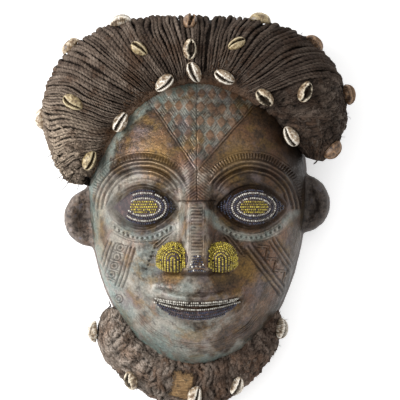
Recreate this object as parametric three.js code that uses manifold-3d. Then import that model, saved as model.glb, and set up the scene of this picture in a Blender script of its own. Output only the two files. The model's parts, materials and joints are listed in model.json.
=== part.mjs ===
// Face mask of carved wood, clad in an embossed copper alloy sheet, with a corded hair roll, a
// matted beard ruff, sewn-on cowrie shells, and beadwork on the eyes, nostrils and lips.
// Millimetres, +Z up. It lies on the flat rim of its back with the face up and the crown to +Y,
// and the origin is on the surface it lies on, under the middle of its outline. In names, left is
// the side towards -X and right the side towards +X.
import * as THREE from "three";
import { mergeVertices } from "three/addons/utils/BufferGeometryUtils.js";
import Module from "manifold-3d";

const wasm = await Module();
wasm.setup();

const { degToRad, clamp } = THREE.MathUtils;

// Head: an egg in plan, widest above the eyes, under a full dome, with a hollow behind
const HEAD = {
  halfWidth: 110,
  halfHeight: 161,
  centreY: -1,
  narrowing: 0.12,
  fullness: 2.2,
  rise: 115,
  planPower: 2.6,
  risePower: 1.8,
  wall: 13,
};

// Sheet metal over the front of the head, and the gap between neighbouring pieces
const GAP = 0.3;
const SHEET = { reach: 0.955, back: GAP, front: GAP + 1.6 };

// Face, laid out by the usual rules of proportion: the eyes halfway up the head, the brow, the
// nose base and the chin a third of the way apart below the hairline, the mouth a third of the way
// from nose to chin, each eye in the middle of its half of the face, and an eye's width between
// the eyes
const HEAD_TOP_Y = HEAD.centreY + HEAD.halfHeight;
const HAIRLINE_Y = 127.5;
const CHIN_Y = HEAD.centreY - HEAD.halfHeight * SHEET.reach;
const THIRD = (HAIRLINE_Y - CHIN_Y) / 3;
const BROW_Y = HAIRLINE_Y - THIRD;
const NOSE_BASE_Y = BROW_Y - THIRD;

const EYE = {
  x: (HEAD.halfWidth * SHEET.reach) / 2,
  y: (HEAD_TOP_Y + CHIN_Y) / 2,
  halfWidth: 32,
  halfHeight: 20,
  bulge: 14,
  socket: 7,
  socketReach: 1.7,
};
const BROW = { x: EYE.x, y: BROW_Y - 33, radius: 47, height: 6, halfWidth: 9, from: 8, to: 98 };
const NOSE = {
  topY: BROW_Y + 4,
  baseY: NOSE_BASE_Y,
  root: 4,
  tip: 32,
  topHalf: 6,
  topSpread: 3,
  flank: 11,
};
const NOSTRIL = { x: 23, y: NOSE_BASE_Y + 13, radius: 17, height: 24 };
const MOUTH = { y: NOSE_BASE_Y - THIRD / 3 - 3, halfWidth: 45, curve: 8, lip: 8, lipHeight: 8, gap: 3 };
const MUZZLE = { y: MOUTH.y + 3, halfWidth: 66, halfHeight: 42, height: 8 };
const CHEEK = { x: 62, y: -48, halfWidth: 36, halfHeight: 44, height: 5 };
const CHIN = { y: CHIN_Y + THIRD / 4, halfWidth: 42, halfHeight: 30, height: 9 };

// Ears, carved in one with the head, the right one set a little higher
const EAR = { x: 103, y: -1, step: 7, reach: 31, halfHeight: 29, z: 14, thickness: 20, turn: 14, scoop: 7 };

// Hair roll: an arch of fibre round a point above the brow, fuller at the temples
const HAIR = {
  centreY: 77,
  leftSpan: degToRad(113),
  rightSpan: degToRad(105),
  inner: 49,
  innerSpread: 55,
  outer: 113,
  leftSpread: 41,
  rightSpread: 38,
  widest: degToRad(75),
  backZ: 4,
  crestZ: 102,
  endDrop: 34,
  overlap: 2,
};

// Beard ruff: a collar of fibre round the jaw, narrower on the right
const BEARD = {
  centreY: -62,
  span: degToRad(68),
  outer: 132,
  tip: 2,
  leftLoss: 16,
  leftFall: 4,
  rightLoss: 31,
  rightFall: 1.1,
  width: 46,
  middleZ: 26.5,
  halfDepth: 18.5,
  lean: 14,
};
const PATCH = { angle: degToRad(-7.5), halfAngle: degToRad(5.5), turn: degToRad(8), halfTurn: degToRad(32) };
const PATCH_LIFT = 0.6;
const PATCH_THICKNESS = 1.8;

// Cowrie shells with their backs cut flat. Each seat gives, in degrees, the place along the roll,
// the place round its section, the way the shell points in plan, and a lean about its length.
const COWRIE = { length: 23, width: 16, height: 9, slit: 3.2, rim: 1, narrowing: 0.12 };
const HAIR_SEATS = [
  [-85, 84, -16, 14],
  [-56, 84, 48],
  [-35, 70, 70],
  [-3.6, 48, 2],
  [29.6, 74, 110],
  [53, 78, 130],
  [76, 84, 22, -24],
  [97, 52, 22],
  [-76.7, 16, 118],
  [-35, 8, 125],
  [-4.8, 0, 0],
  [24.3, 10, 60],
  [69.7, 5, 20],
  [-104, -14, 20],
  [-82, -50, 28],
  [-33.7, -45, 45],
  [-2.8, -36, -25],
  [26.8, -38, 118],
  [63, -36, 130],
  [91.5, -46, 150],
];
const BEARD_SEATS = [
  [-59, 84, -10],
  [-31, 43, 4],
  [-1, 24, 14],
  [19, 42, 2],
  [55.5, 54, -4],
];
// Share by which a shell on the inner slope of a roll faces up instead of square to the slope
const FACE_UP = 0.75;

// Beadwork: one layer of beads in its bedding, raised a little off the metal
const BEADS = { layer: 2.4, eyeBed: 0.9, nostrilBed: 1.6, lipBed: 1.5 };
const EYE_BEADS = { halfWidth: 27, halfHeight: 16, narrowing: 0.75 };
const NOSTRIL_BEADS = { shift: 3, halfWidth: 9.5, halfHeight: 10 };
const LIP_BEADS = { halfWidth: 38, halfHeight: 4, narrowing: 0.8 };

// Grids of the solids
const FACE_CELLS = 26;
const GRID_CENTRE = 0.76;
const HOLLOW_CELLS = 8;
const HOLLOW_DEPTH_BELOW = 20;
const FLANK_ROWS = 2;

// The general shapes

// A smooth step from 0 to 1
function easeStep(from, to, value) {
  const t = clamp((value - from) / (to - from), 0, 1);
  return t * t * (3 - 2 * t);
}

// A round hump, 1 high in the middle, that reaches nothing one unit away
const hump = (t) => (Math.abs(t) < 1 ? (1 - t * t) ** 2 : 0);

const signedPower = (value, power) => Math.sign(value) * Math.abs(value) ** power;

function signedVolume(geometry) {
  const place = geometry.getAttribute("position");
  const [a, b, c] = [new THREE.Vector3(), new THREE.Vector3(), new THREE.Vector3()];
  let sum = 0;
  for (let i = 0; i < geometry.index.count; i += 3) {
    a.fromBufferAttribute(place, geometry.index.getX(i));
    b.fromBufferAttribute(place, geometry.index.getX(i + 1));
    c.fromBufferAttribute(place, geometry.index.getX(i + 2));
    sum += a.dot(b.cross(c)) / 6;
  }
  return sum;
}

// Moves every corner of a geometry, leaves one closed mesh and turns its faces outwards
function reshape(geometry, pointAt) {
  geometry.deleteAttribute("normal");
  geometry.deleteAttribute("uv");
  const place = geometry.getAttribute("position");
  const corner = new THREE.Vector3();
  for (let i = 0; i < place.count; i += 1) {
    const moved = pointAt(corner.fromBufferAttribute(place, i));
    place.setXYZ(i, moved.x, moved.y, moved.z);
  }
  const merged = mergeVertices(geometry, 1e-4);
  if (signedVolume(merged) < 0) {
    merged.index.array.reverse();
  }
  return merged;
}

function toSolid(geometry) {
  const vertProperties = new Float32Array(geometry.getAttribute("position").array);
  const triVerts = new Uint32Array(geometry.index.array);
  return new wasm.Manifold(new wasm.Mesh({ numProp: 3, vertProperties, triVerts }));
}

function toGeometry(solid) {
  const mesh = solid.getMesh();
  const geometry = new THREE.BufferGeometry();
  geometry.setAttribute("position", new THREE.BufferAttribute(mesh.vertProperties.slice(), 3));
  geometry.setIndex(new THREE.BufferAttribute(mesh.triVerts.slice(), 1));
  return geometry;
}

// Share of the way out and angle from +Y towards +X of a place on the unit square, so that its
// square rings become the round rings of a disc
function squareToDisc(x, y) {
  const share = Math.max(Math.abs(x), Math.abs(y));
  if (share === 0) {
    return { share, angle: 0 };
  }
  if (Math.abs(y) >= Math.abs(x)) {
    return { share, angle: (y > 0 ? 0 : Math.PI) + (Math.PI / 4) * (x / y) };
  }
  return { share, angle: (x > 0 ? 1 : -1) * (Math.PI / 2) - (Math.PI / 4) * (y / x) };
}

// Turns the diagonal of each grid cell towards the middle of the grid, so that no triangle is
// squeezed flat where a square ring's corner is drawn out into a round one
function aimDiagonals(geometry) {
  const place = geometry.getAttribute("position");
  const faces = geometry.index.array;
  for (let i = 0; i < faces.length; i += 6) {
    const [a, b, d, , c] = faces.slice(i, i + 5);
    const slope = (place.getX(d) - place.getX(b)) * (place.getY(d) - place.getY(b));
    const quarter = (place.getX(a) + place.getX(c)) * (place.getY(a) + place.getY(c));
    if (slope * quarter < 0) {
      faces.set([a, b, c, a, c, d], i);
    }
  }
  return geometry;
}

// A plate: one grid over the unit square in two layers, z 1 in front and 0 behind, joined at the rim
function plateForm(columns, rows, pointAt) {
  const plate = aimDiagonals(new THREE.PlaneGeometry(2, 2, columns, rows));
  const grid = plate.getAttribute("position");
  const front = plate.index.array;
  const count = grid.count;
  const edges = new Set();
  const faces = [];
  for (let i = 0; i < front.length; i += 3) {
    const [a, b, c] = front.slice(i, i + 3);
    faces.push(a, b, c, a + count, c + count, b + count);
    [[a, b], [b, c], [c, a]].forEach(([from, to]) => edges.add(`${from} ${to}`));
  }
  for (const edge of edges) {
    const [a, b] = edge.split(" ").map(Number);
    if (!edges.has(`${b} ${a}`)) {
      faces.push(a, a + count, b + count, a, b + count, b);
    }
  }
  const layers = new THREE.BufferAttribute(new Float32Array(6 * count), 3);
  for (let i = 0; i < count; i += 1) {
    layers.setXYZ(i, grid.getX(i), grid.getY(i), 1);
    layers.setXYZ(i + count, grid.getX(i), grid.getY(i), 0);
  }
  const form = new THREE.BufferGeometry();
  form.setAttribute("position", layers);
  form.setIndex(faces);
  return reshape(form, pointAt);
}

// A closed form whose rings run along from one end to the other: pointAt(turn, along), where
// turn goes round the section and along goes from 0 to 1, with closer rings near the ends
function ringedForm(around, rings, pointAt, closing = 0.6) {
  return reshape(new THREE.SphereGeometry(1, around, rings), (corner) => {
    const along = Math.acos(clamp(corner.y, -1, 1)) / Math.PI;
    const eased = (1 - Math.cos(Math.PI * along)) / 2;
    return pointAt(Math.atan2(corner.x, corner.z), along + (eased - along) * closing);
  });
}

// The head and the face carved on it

// How far out a place in plan is, as a share of the way from the middle to the outline
function headShare(x, y) {
  const up = (y - HEAD.centreY) / HEAD.halfHeight;
  const across = x / (HEAD.halfWidth * (1 + HEAD.narrowing * up));
  return (Math.abs(across) ** HEAD.fullness + Math.abs(up) ** HEAD.fullness) ** (1 / HEAD.fullness);
}

// The place in plan at a share of the way out and an angle from +Y towards +X
function headPlan(share, angle) {
  const up = share * signedPower(Math.cos(angle), 2 / HEAD.fullness);
  const across = share * signedPower(Math.sin(angle), 2 / HEAD.fullness);
  return [HEAD.halfWidth * (1 + HEAD.narrowing * up) * across, HEAD.centreY + HEAD.halfHeight * up];
}

function domeHeight(share, rise = HEAD.rise) {
  return rise * (1 - Math.min(share, 1) ** HEAD.planPower) ** (1 / HEAD.risePower);
}

// The way out of the plain dome
function domeNormal(x, y) {
  const step = 0.5;
  const nearEdge = 0.992;
  const shareStep = 0.004;
  const share = Math.min(headShare(x, y), nearEdge);
  const fall = (domeHeight(share) - domeHeight(share + shareStep)) / shareStep;
  const slopeX = (headShare(x + step, y) - headShare(x - step, y)) / (2 * step);
  const slopeY = (headShare(x, y + step) - headShare(x, y - step)) / (2 * step);
  return new THREE.Vector3(fall * slopeX, fall * slopeY, 1).normalize();
}

// An almond bulge in a shallow socket
function eyeRelief(side, y) {
  const u = (side - EYE.x) / EYE.halfWidth;
  const v = (y - EYE.y) / EYE.halfHeight;
  const socket = -EYE.socket * hump(Math.hypot(u, v) / EYE.socketReach);
  const lid = 1 - u * u;
  if (Math.abs(v) >= lid) {
    return socket;
  }
  return socket + EYE.bulge * (lid * (1 - (v / lid) ** 2)) ** 0.7;
}

// A ridge on an arc round each eye
function browRelief(side, y) {
  const rise = Math.sqrt(Math.max(0, BROW.radius ** 2 - (side - BROW.x) ** 2));
  const ends = easeStep(BROW.from, BROW.from + 10, side) * easeStep(BROW.to, BROW.to - 12, side);
  return BROW.height * hump((y - BROW.y - rise) / BROW.halfWidth) * ends;
}

// A flat-topped ridge that widens and rises from the brow to the base
function noseRelief(side, y) {
  const down = clamp((NOSE.topY - y) / (NOSE.topY - NOSE.baseY), 0, 1);
  const height = NOSE.root + (NOSE.tip - NOSE.root) * down ** 1.15;
  const topHalf = NOSE.topHalf + NOSE.topSpread * down;
  const flank = 1 - easeStep(topHalf, topHalf + NOSE.flank, side);
  const ends = easeStep(NOSE.topY + 18, NOSE.topY - 6, y) * easeStep(NOSE.baseY - 5, NOSE.baseY + 4, y);
  return height * flank * ends;
}

function nostrilRelief(side, y) {
  const far = Math.hypot(side - NOSTRIL.x, y - NOSTRIL.y) / NOSTRIL.radius;
  const ball = Math.max(0, 1 - far ** 2.2) ** 0.75;
  return NOSTRIL.height * ball * easeStep(NOSE.baseY - 5, NOSE.baseY + 3, y);
}

const mouthLine = (x) => MOUTH.y + MOUTH.curve * (x / MOUTH.halfWidth) ** 2;

// Two full lips, lightly parted, on a rounded muzzle
function mouthRelief(x, y) {
  const along = Math.max(0, 1 - (x / MOUTH.halfWidth) ** 2);
  const off = y - mouthLine(x);
  const lips = hump((off - MOUTH.lip) / MOUTH.lip) + hump((off + MOUTH.lip) / MOUTH.lip);
  const muzzle = hump(Math.hypot(x / MUZZLE.halfWidth, (y - MUZZLE.y) / MUZZLE.halfHeight));
  return MOUTH.lipHeight * along ** 0.5 * lips + MUZZLE.height * muzzle - MOUTH.gap * along * hump(off / 4);
}

// How far the carved face stands above the plain dome
function faceRelief(x, y) {
  const side = Math.abs(x);
  const cheek = hump(Math.hypot((side - CHEEK.x) / CHEEK.halfWidth, (y - CHEEK.y) / CHEEK.halfHeight));
  const chin = hump(Math.hypot(x / CHIN.halfWidth, (y - CHIN.y) / CHIN.halfHeight));
  const nose = Math.max(noseRelief(side, y), nostrilRelief(side, y));
  const soft = CHEEK.height * cheek + CHIN.height * chin;
  return soft + nose + browRelief(side, y) + eyeRelief(side, y) + mouthRelief(x, y);
}

// A place on the face, or on the plain dome, lifted off it
function facePoint(x, y, lift, carved = true) {
  const z = domeHeight(headShare(x, y)) + (carved ? faceRelief(x, y) : 0);
  return new THREE.Vector3(x, y, z).addScaledVector(domeNormal(x, y), lift);
}

// A place under the sheet, from the unit square: the grid is finer in the middle of the face
function sheetPoint(corner, lift) {
  const { share, angle } = squareToDisc(corner.x, corner.y);
  const [x, y] = headPlan(share * (GRID_CENTRE + (1 - GRID_CENTRE) * share) * SHEET.reach, angle);
  return facePoint(x, y, lift);
}

// The head with its face as one full solid on a flat bottom, grown by a lift above and below the
// edge of the sheet
function headForm(sheetLift, flankLift) {
  const block = aimDiagonals(new THREE.BoxGeometry(2, 2, 1, FACE_CELLS, FACE_CELLS, FLANK_ROWS));
  return reshape(block, (corner) => {
    const down = 0.5 - corner.z;
    if (down === 0) {
      return sheetPoint(corner, sheetLift);
    }
    const { share, angle } = squareToDisc(corner.x, corner.y);
    const reach = SHEET.reach + (1 - SHEET.reach) * Math.sin((Math.PI / 2) * down);
    const [x, y] = headPlan(share === 1 ? reach : share, angle);
    const point = facePoint(x, y, flankLift, false);
    return down === 1 ? point.setZ(0) : point;
  });
}

function sheetForm(back, front) {
  return plateForm(FACE_CELLS, FACE_CELLS, (corner) => sheetPoint(corner, corner.z > 0 ? front : back));
}

// The hollow behind the face, open at the back
function hollowForm() {
  const block = aimDiagonals(new THREE.BoxGeometry(2, 2, 1, HOLLOW_CELLS, HOLLOW_CELLS, 1));
  return reshape(block, (corner) => {
    const { share, angle } = squareToDisc(corner.x, corner.y);
    const rounded = Math.sin((Math.PI / 2) * share);
    const [x, y] = headPlan(rounded, angle);
    return new THREE.Vector3(
      x * (1 - HEAD.wall / HEAD.halfWidth),
      HEAD.centreY + (y - HEAD.centreY) * (1 - HEAD.wall / HEAD.halfHeight),
      corner.z > 0 ? domeHeight(rounded, HEAD.rise - HEAD.wall) : -HOLLOW_DEPTH_BELOW,
    );
  });
}

// One ear as a thick half oval with a scooped front; side is -1 for the left and 1 for the right
function earSolid(side) {
  const [root, lobe, rim] = [-12, 4, 3];
  const outline = new THREE.Shape();
  outline.moveTo(root, -EAR.halfHeight * 0.7);
  outline.lineTo(lobe, -EAR.halfHeight + rim);
  outline.absellipse(lobe, 0, EAR.reach - 2 * rim, EAR.halfHeight - rim, -Math.PI / 2, Math.PI / 2);
  outline.lineTo(root, EAR.halfHeight * 0.7);
  const blank = new THREE.ExtrudeGeometry(outline, {
    depth: EAR.thickness - 2 * rim,
    curveSegments: 8,
    bevelThickness: rim,
    bevelSize: rim,
    bevelSegments: 1,
  });
  const bowl = new THREE.SphereGeometry(1, 10, 6);
  bowl.scale(EAR.reach / 2, (EAR.halfHeight * 2) / 3, EAR.scoop);
  bowl.translate(EAR.reach / 2 - 2 * rim, 0, EAR.thickness - rim);
  const [solid, scoop] = [blank, bowl].map((geometry) => {
    geometry.rotateY(degToRad(-EAR.turn));
    geometry.scale(side, 1, 1);
    geometry.translate(side * EAR.x, EAR.y + side * EAR.step, EAR.z);
    return toSolid(reshape(mergeVertices(geometry), (corner) => corner));
  });
  return solid.subtract(scoop);
}

// The rolls of fibre

// Hair roll surface at an angle from +Y towards +X and a turn round the section, from the front
// outwards
function hairPoint(angle, turn) {
  const end = Math.min(Math.abs(angle) / (angle < 0 ? HAIR.leftSpan : HAIR.rightSpan), 1);
  const taper = Math.sqrt(1 - end ** 10);
  const inner = HAIR.inner + HAIR.innerSpread * end ** 3;
  const spread = angle < 0 ? HAIR.leftSpread : HAIR.rightSpread;
  const outer = HAIR.outer + spread * Math.sin((Math.PI / 2) * (angle / HAIR.widest)) ** 2;
  const halfWidth = (outer - inner) / 2 + HAIR.overlap;
  const radius = (outer + inner) / 2 + signedPower(Math.sin(turn), 0.84) * halfWidth * taper;
  const crest = HAIR.crestZ - HAIR.endDrop * end ** 4;
  const halfDepth = ((crest - HAIR.backZ) / 2) * taper;
  const z = (crest + HAIR.backZ) / 2 + signedPower(Math.cos(turn), 0.84) * halfDepth;
  return new THREE.Vector3(radius * Math.sin(angle), HAIR.centreY + radius * Math.cos(angle), z);
}

// Beard ruff surface at an angle from -Y towards +X and a turn round the section, from the front
// outwards
function beardPoint(angle, turn) {
  const end = Math.min(Math.abs(angle) / BEARD.span, 1);
  const taper = Math.sqrt(1 - end ** 6);
  const loss = angle < 0 ? BEARD.leftLoss * end ** BEARD.leftFall : BEARD.rightLoss * end ** BEARD.rightFall;
  const outer = BEARD.outer - loss + BEARD.tip * hump(angle);
  const across = (signedPower(Math.sin(turn), 0.9) * taper) / 2;
  const radius = outer + BEARD.width * (across - 0.5);
  const z = BEARD.middleZ - BEARD.lean * across + signedPower(Math.cos(turn), 0.9) * BEARD.halfDepth * taper;
  return new THREE.Vector3(radius * Math.sin(angle), BEARD.centreY - radius * Math.cos(angle), z);
}

// The way out of a roll's surface
function rollNormal(pointAt, angle, turn) {
  const step = 0.01;
  const along = pointAt(angle + step, turn).sub(pointAt(angle - step, turn));
  const round = pointAt(angle, turn + step).sub(pointAt(angle, turn - step));
  const out = along.cross(round).normalize();
  const fromFarSide = pointAt(angle, turn).sub(pointAt(angle, turn + Math.PI));
  return out.dot(fromFarSide) < 0 ? out.negate() : out;
}

// The small pieces

// A shell lying on its flat back with its slit up and its length along +Y
function cowrieForm() {
  return ringedForm(8, 5, (turn, along) => {
    const end = 2 * along - 1;
    const girth = (1 - end * end) ** 0.4;
    const x = (COWRIE.width / 2) * girth * Math.sin(turn) * (1 - COWRIE.narrowing * end);
    const slit = Math.abs(turn) < 0.1 ? COWRIE.slit * girth : 0;
    const top = COWRIE.rim + (COWRIE.height - COWRIE.rim) * girth * Math.cos(turn) - slit;
    const back = COWRIE.rim * (1 - girth);
    return new THREE.Vector3(x, (COWRIE.length / 2) * end, Math.cos(turn) > 0.1 ? top : back);
  });
}

// A layer of beads over a patch of the face: planAt gives the patch's plan from the unit disc
function beadLayer(columns, rows, bed, planAt) {
  return plateForm(columns, rows, (corner) => {
    const { share, angle } = squareToDisc(corner.x, corner.y);
    const [x, y] = planAt(share * Math.sin(angle), share * Math.cos(angle));
    return facePoint(x, y, SHEET.front + bed + corner.z * BEADS.layer);
  });
}

// Colours and finishes
const COLOURS = {
  wood: new THREE.MeshStandardMaterial({ color: 0x3a2c22, roughness: 0.75, metalness: 0 }),
  sheet: new THREE.MeshStandardMaterial({ color: 0x6b5f4f, roughness: 0.5, metalness: 0.8 }),
  fibre: new THREE.MeshStandardMaterial({ color: 0x5b4c3d, roughness: 0.95, metalness: 0 }),
  tan: new THREE.MeshStandardMaterial({ color: 0x93795a, roughness: 0.95, metalness: 0 }),
  shell: new THREE.MeshStandardMaterial({ color: 0xd3c6b0, roughness: 0.35, metalness: 0 }),
  beads: new THREE.MeshStandardMaterial({ color: 0x2a2c38, roughness: 0.3, metalness: 0 }),
};

const mask = new THREE.Group();

function addPiece(name, geometry, material) {
  const piece = new THREE.Mesh(geometry, material.clone());
  piece.name = name;
  mask.add(piece);
  return piece;
}

// Head and sheet
const sheetRoom = toSolid(sheetForm(-SHEET.front, SHEET.front + GAP));
const headRoom = toSolid(headForm(SHEET.front + GAP, GAP));
const ears = [-1, 1].map((side) => earSolid(side).subtract(sheetRoom));
const head = toSolid(headForm(0, 0)).add(ears[0]).add(ears[1]).subtract(toSolid(hollowForm()));
const body = addPiece("mask_body", toGeometry(head), COLOURS.wood);
const sheet = addPiece("face_sheet", sheetForm(SHEET.back, SHEET.front), COLOURS.sheet);

// Hair and beard, cut to the head they lie on
const hairSpan = HAIR.leftSpan + HAIR.rightSpan;
const hairForm = ringedForm(12, 26, (turn, along) => hairPoint(hairSpan * along - HAIR.leftSpan, turn));
const hairSolid = ears.reduce((solid, ear) => solid.subtract(ear), toSolid(hairForm).subtract(headRoom));
const hair = addPiece("hair_roll", toGeometry(hairSolid), COLOURS.fibre);
const beardForm = ringedForm(8, 18, (turn, along) => beardPoint(BEARD.span * (2 * along - 1), turn));
const beard = addPiece("beard_ruff", toGeometry(toSolid(beardForm).subtract(headRoom)), COLOURS.fibre);

// A patch of bare tan matting sewn on the beard
const patchForm = plateForm(3, 3, (corner) => {
  const angle = PATCH.angle + PATCH.halfAngle * corner.x;
  const turn = PATCH.turn - PATCH.halfTurn * corner.y;
  const lift = PATCH_LIFT + PATCH_THICKNESS * corner.z;
  return beardPoint(angle, turn).addScaledVector(rollNormal(beardPoint, angle, turn), lift);
});
const patch = addPiece("beard_patch", patchForm, COLOURS.tan);

// Beads: an almond over each eye, a cap over each nostril and a crescent over the lower lip
for (const [label, side] of [["left", -1], ["right", 1]]) {
  const almond = (u, v) => {
    const narrowed = EYE_BEADS.halfHeight * (1 - EYE_BEADS.narrowing * u * u);
    return [side * EYE.x + EYE_BEADS.halfWidth * u, EYE.y + narrowed * v];
  };
  addPiece(`eye_beads_${label}`, beadLayer(6, 4, BEADS.eyeBed, almond), COLOURS.beads);
  const cap = (u, v) => [
    side * (NOSTRIL.x + NOSTRIL_BEADS.shift) + NOSTRIL_BEADS.halfWidth * u,
    NOSTRIL.y + NOSTRIL_BEADS.halfHeight * v,
  ];
  addPiece(`nostril_beads_${label}`, beadLayer(4, 4, BEADS.nostrilBed, cap), COLOURS.beads);
}
const crescent = (u, v) => {
  const x = LIP_BEADS.halfWidth * u;
  return [x, mouthLine(x) - MOUTH.lip + LIP_BEADS.halfHeight * v * (1 - LIP_BEADS.narrowing * u * u)];
};
addPiece("lip_beads", beadLayer(8, 2, BEADS.lipBed, crescent), COLOURS.beads);

const carriers = [body, sheet, hair, beard, patch];

// How far a shell has to move along a direction until its back clears what carries it
function seatLift(shell, out) {
  const [start, steps] = [40, 8];
  const ray = new THREE.Raycaster();
  let lift = -start;
  for (let i = 0; i <= steps; i += 1) {
    for (let j = 0; j <= steps; j += 1) {
      const [u, v] = [(2 * i) / steps - 1, (2 * j) / steps - 1];
      const spot = new THREE.Vector3((COWRIE.width / 2) * u * (1 - v * v) ** 0.4, (COWRIE.length / 2) * v, 0);
      ray.set(spot.applyMatrix4(shell.matrixWorld).addScaledVector(out, start), out.clone().negate());
      const [hit] = ray.intersectObjects(carriers);
      lift = Math.max(lift, hit ? start - hit.distance + GAP : -start);
    }
  }
  return lift;
}

// Seats a shell on a roll, clear of everything that carries it
function seatShell(name, pointAt, [along, round, heading, lean = 0]) {
  const [angle, turn, course] = [along, round, heading].map(degToRad);
  const out = rollNormal(pointAt, angle, turn);
  if (round < 0) {
    out.lerp(new THREE.Vector3(0, 0, 1), FACE_UP).normalize();
  }
  const length = new THREE.Vector3(Math.sin(course), Math.cos(course), 0);
  length.addScaledVector(out, -length.dot(out)).normalize();
  const up = out.clone().applyAxisAngle(length, degToRad(lean));
  const shell = addPiece(name, cowrieForm(), COLOURS.shell);
  const pose = new THREE.Matrix4().makeBasis(length.clone().cross(up), length, up);
  shell.quaternion.setFromRotationMatrix(pose);
  shell.position.copy(pointAt(angle, turn));
  shell.updateMatrixWorld(true);
  shell.position.addScaledVector(out, seatLift(shell, out));
}

HAIR_SEATS.forEach((seat, i) => seatShell(`hair_cowrie_${i + 1}`, hairPoint, seat));
BEARD_SEATS.forEach((seat, i) => seatShell(`beard_cowrie_${i + 1}`, beardPoint, seat));

export default mask;
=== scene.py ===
"""Looks of a carved wooden face mask clad in embossed copper alloy.

The mask has hair of twisted cord, a matted beard, sewn cowrie shells, and beadwork on the eyes,
nostrils and lips. Its sizes are in the maker's millimetres, and MM turns them into the scene's
metres. Left is the side towards -X and right the side towards +X.
"""

import json
import logging
import math
import random
from dataclasses import dataclass
from enum import Enum

import bmesh
import bpy
import numpy as np
from mathutils import Matrix, Vector, noise

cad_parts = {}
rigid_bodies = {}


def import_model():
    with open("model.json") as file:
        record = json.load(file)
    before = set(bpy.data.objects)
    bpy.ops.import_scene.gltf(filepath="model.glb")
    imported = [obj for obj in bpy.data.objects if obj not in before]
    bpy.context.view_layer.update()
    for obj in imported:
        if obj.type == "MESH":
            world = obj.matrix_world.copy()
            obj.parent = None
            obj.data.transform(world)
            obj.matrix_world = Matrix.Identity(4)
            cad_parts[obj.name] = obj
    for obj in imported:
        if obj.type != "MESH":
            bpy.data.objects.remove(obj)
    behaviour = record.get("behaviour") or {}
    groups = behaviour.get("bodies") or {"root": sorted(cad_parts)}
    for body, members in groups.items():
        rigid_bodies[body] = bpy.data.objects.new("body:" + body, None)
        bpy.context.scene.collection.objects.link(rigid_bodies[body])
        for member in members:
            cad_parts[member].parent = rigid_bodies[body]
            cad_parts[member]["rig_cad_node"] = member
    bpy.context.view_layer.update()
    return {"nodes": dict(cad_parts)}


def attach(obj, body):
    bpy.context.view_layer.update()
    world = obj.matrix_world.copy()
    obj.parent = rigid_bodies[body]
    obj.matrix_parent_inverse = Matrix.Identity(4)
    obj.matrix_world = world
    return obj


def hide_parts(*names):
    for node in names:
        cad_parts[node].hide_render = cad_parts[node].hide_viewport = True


LOG = logging.getLogger("mask")
MM = 0.001
BODY = "root"
MERGE = 0.002 * MM

Array = np.ndarray
Socket = bpy.types.NodeSocket
Piece = bpy.types.Object
BMesh = bmesh.types.BMesh
Material = bpy.types.Material
Colour = tuple[float, float, float, float]
Span = tuple[float, float]
Stretch = tuple[float, float, float]


class Slot(Enum):
    """The material slots of the part."""

    WOOD = "wood"
    SHEET = "sheet_metal"
    FIBRE = "fibre"
    TAN = "tan_matting"
    SHELL = "shell"
    NAVY = "dark_beads"
    YELLOW = "yellow_beads"
    WHITE = "white_beads"


def colour(code: str) -> Colour:
    """Turns a colour code as seen on a screen into the scene's linear colour.

    Args:
        code: Six hexadecimal digits: red, green and blue.

    Returns:
        Red, green, blue and full cover.
    """
    parts = [int(code[i : i + 2], 16) / 255 for i in (0, 2, 4)]
    linear = [p / 12.92 if p <= 0.04045 else ((p + 0.055) / 1.055) ** 2.4 for p in parts]
    return (linear[0], linear[1], linear[2], 1.0)


def ease(start: float, stop: float, value: Array) -> Array:
    """A smooth step from 0 at start to 1 at stop."""
    share = np.clip((value - start) / (stop - start), 0, 1)
    return share * share * (3 - 2 * share)


def hump(value: Array) -> Array:
    """A round hump, 1 high in the middle, that reaches nothing one unit away."""
    return np.clip(1 - np.square(value), 0, None) ** 2


def mound(x: Array, y: Array, centre: Span, half: Span, height: float = 1.0) -> Array:
    """A round mound in plan, with half sizes across and up."""
    return height * hump(np.hypot((x - centre[0]) / half[0], (y - centre[1]) / half[1]))


def signed_power(value: Array, power: float) -> Array:
    """A power of the size of a value, with the value's own sign."""
    return np.sign(value) * np.abs(value) ** power


def rough(points: Array, size: float, seed: int = 0) -> Array:
    """Smooth noise at each point.

    Args:
        points: Places, in rows of three.
        size: Size of the lumps, in the units of the places.
        seed: Number of the noise field, so that two uses differ.

    Returns:
        One value from about -1 to 1 for each place.
    """
    shift = np.array([37.1, 11.7, 53.9]) * seed
    return np.array([noise.noise(p) for p in points / size + shift])


def waver(values: Array, scale: float, row: float, layer: float = 0.0) -> Array:
    """Smooth noise along a line. Lines of other rows and layers differ."""
    return np.array([noise.noise((row, value * scale, layer)) for value in values])


def distances(places: Array) -> Array:
    """How far along a route each of its places is."""
    return np.concatenate([[0], np.cumsum(np.linalg.norm(np.diff(places, axis=0), axis=1))])


def unit_rows(rows: Array) -> Array:
    """Rows of three made one unit long."""
    return rows / np.maximum(np.linalg.norm(rows, axis=1, keepdims=True), 1e-9)


def plan_points(x: Array, y: Array) -> Array:
    """Places in plan as rows of three, with nothing for the height."""
    return np.column_stack([x, y, np.zeros_like(x)])


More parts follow.
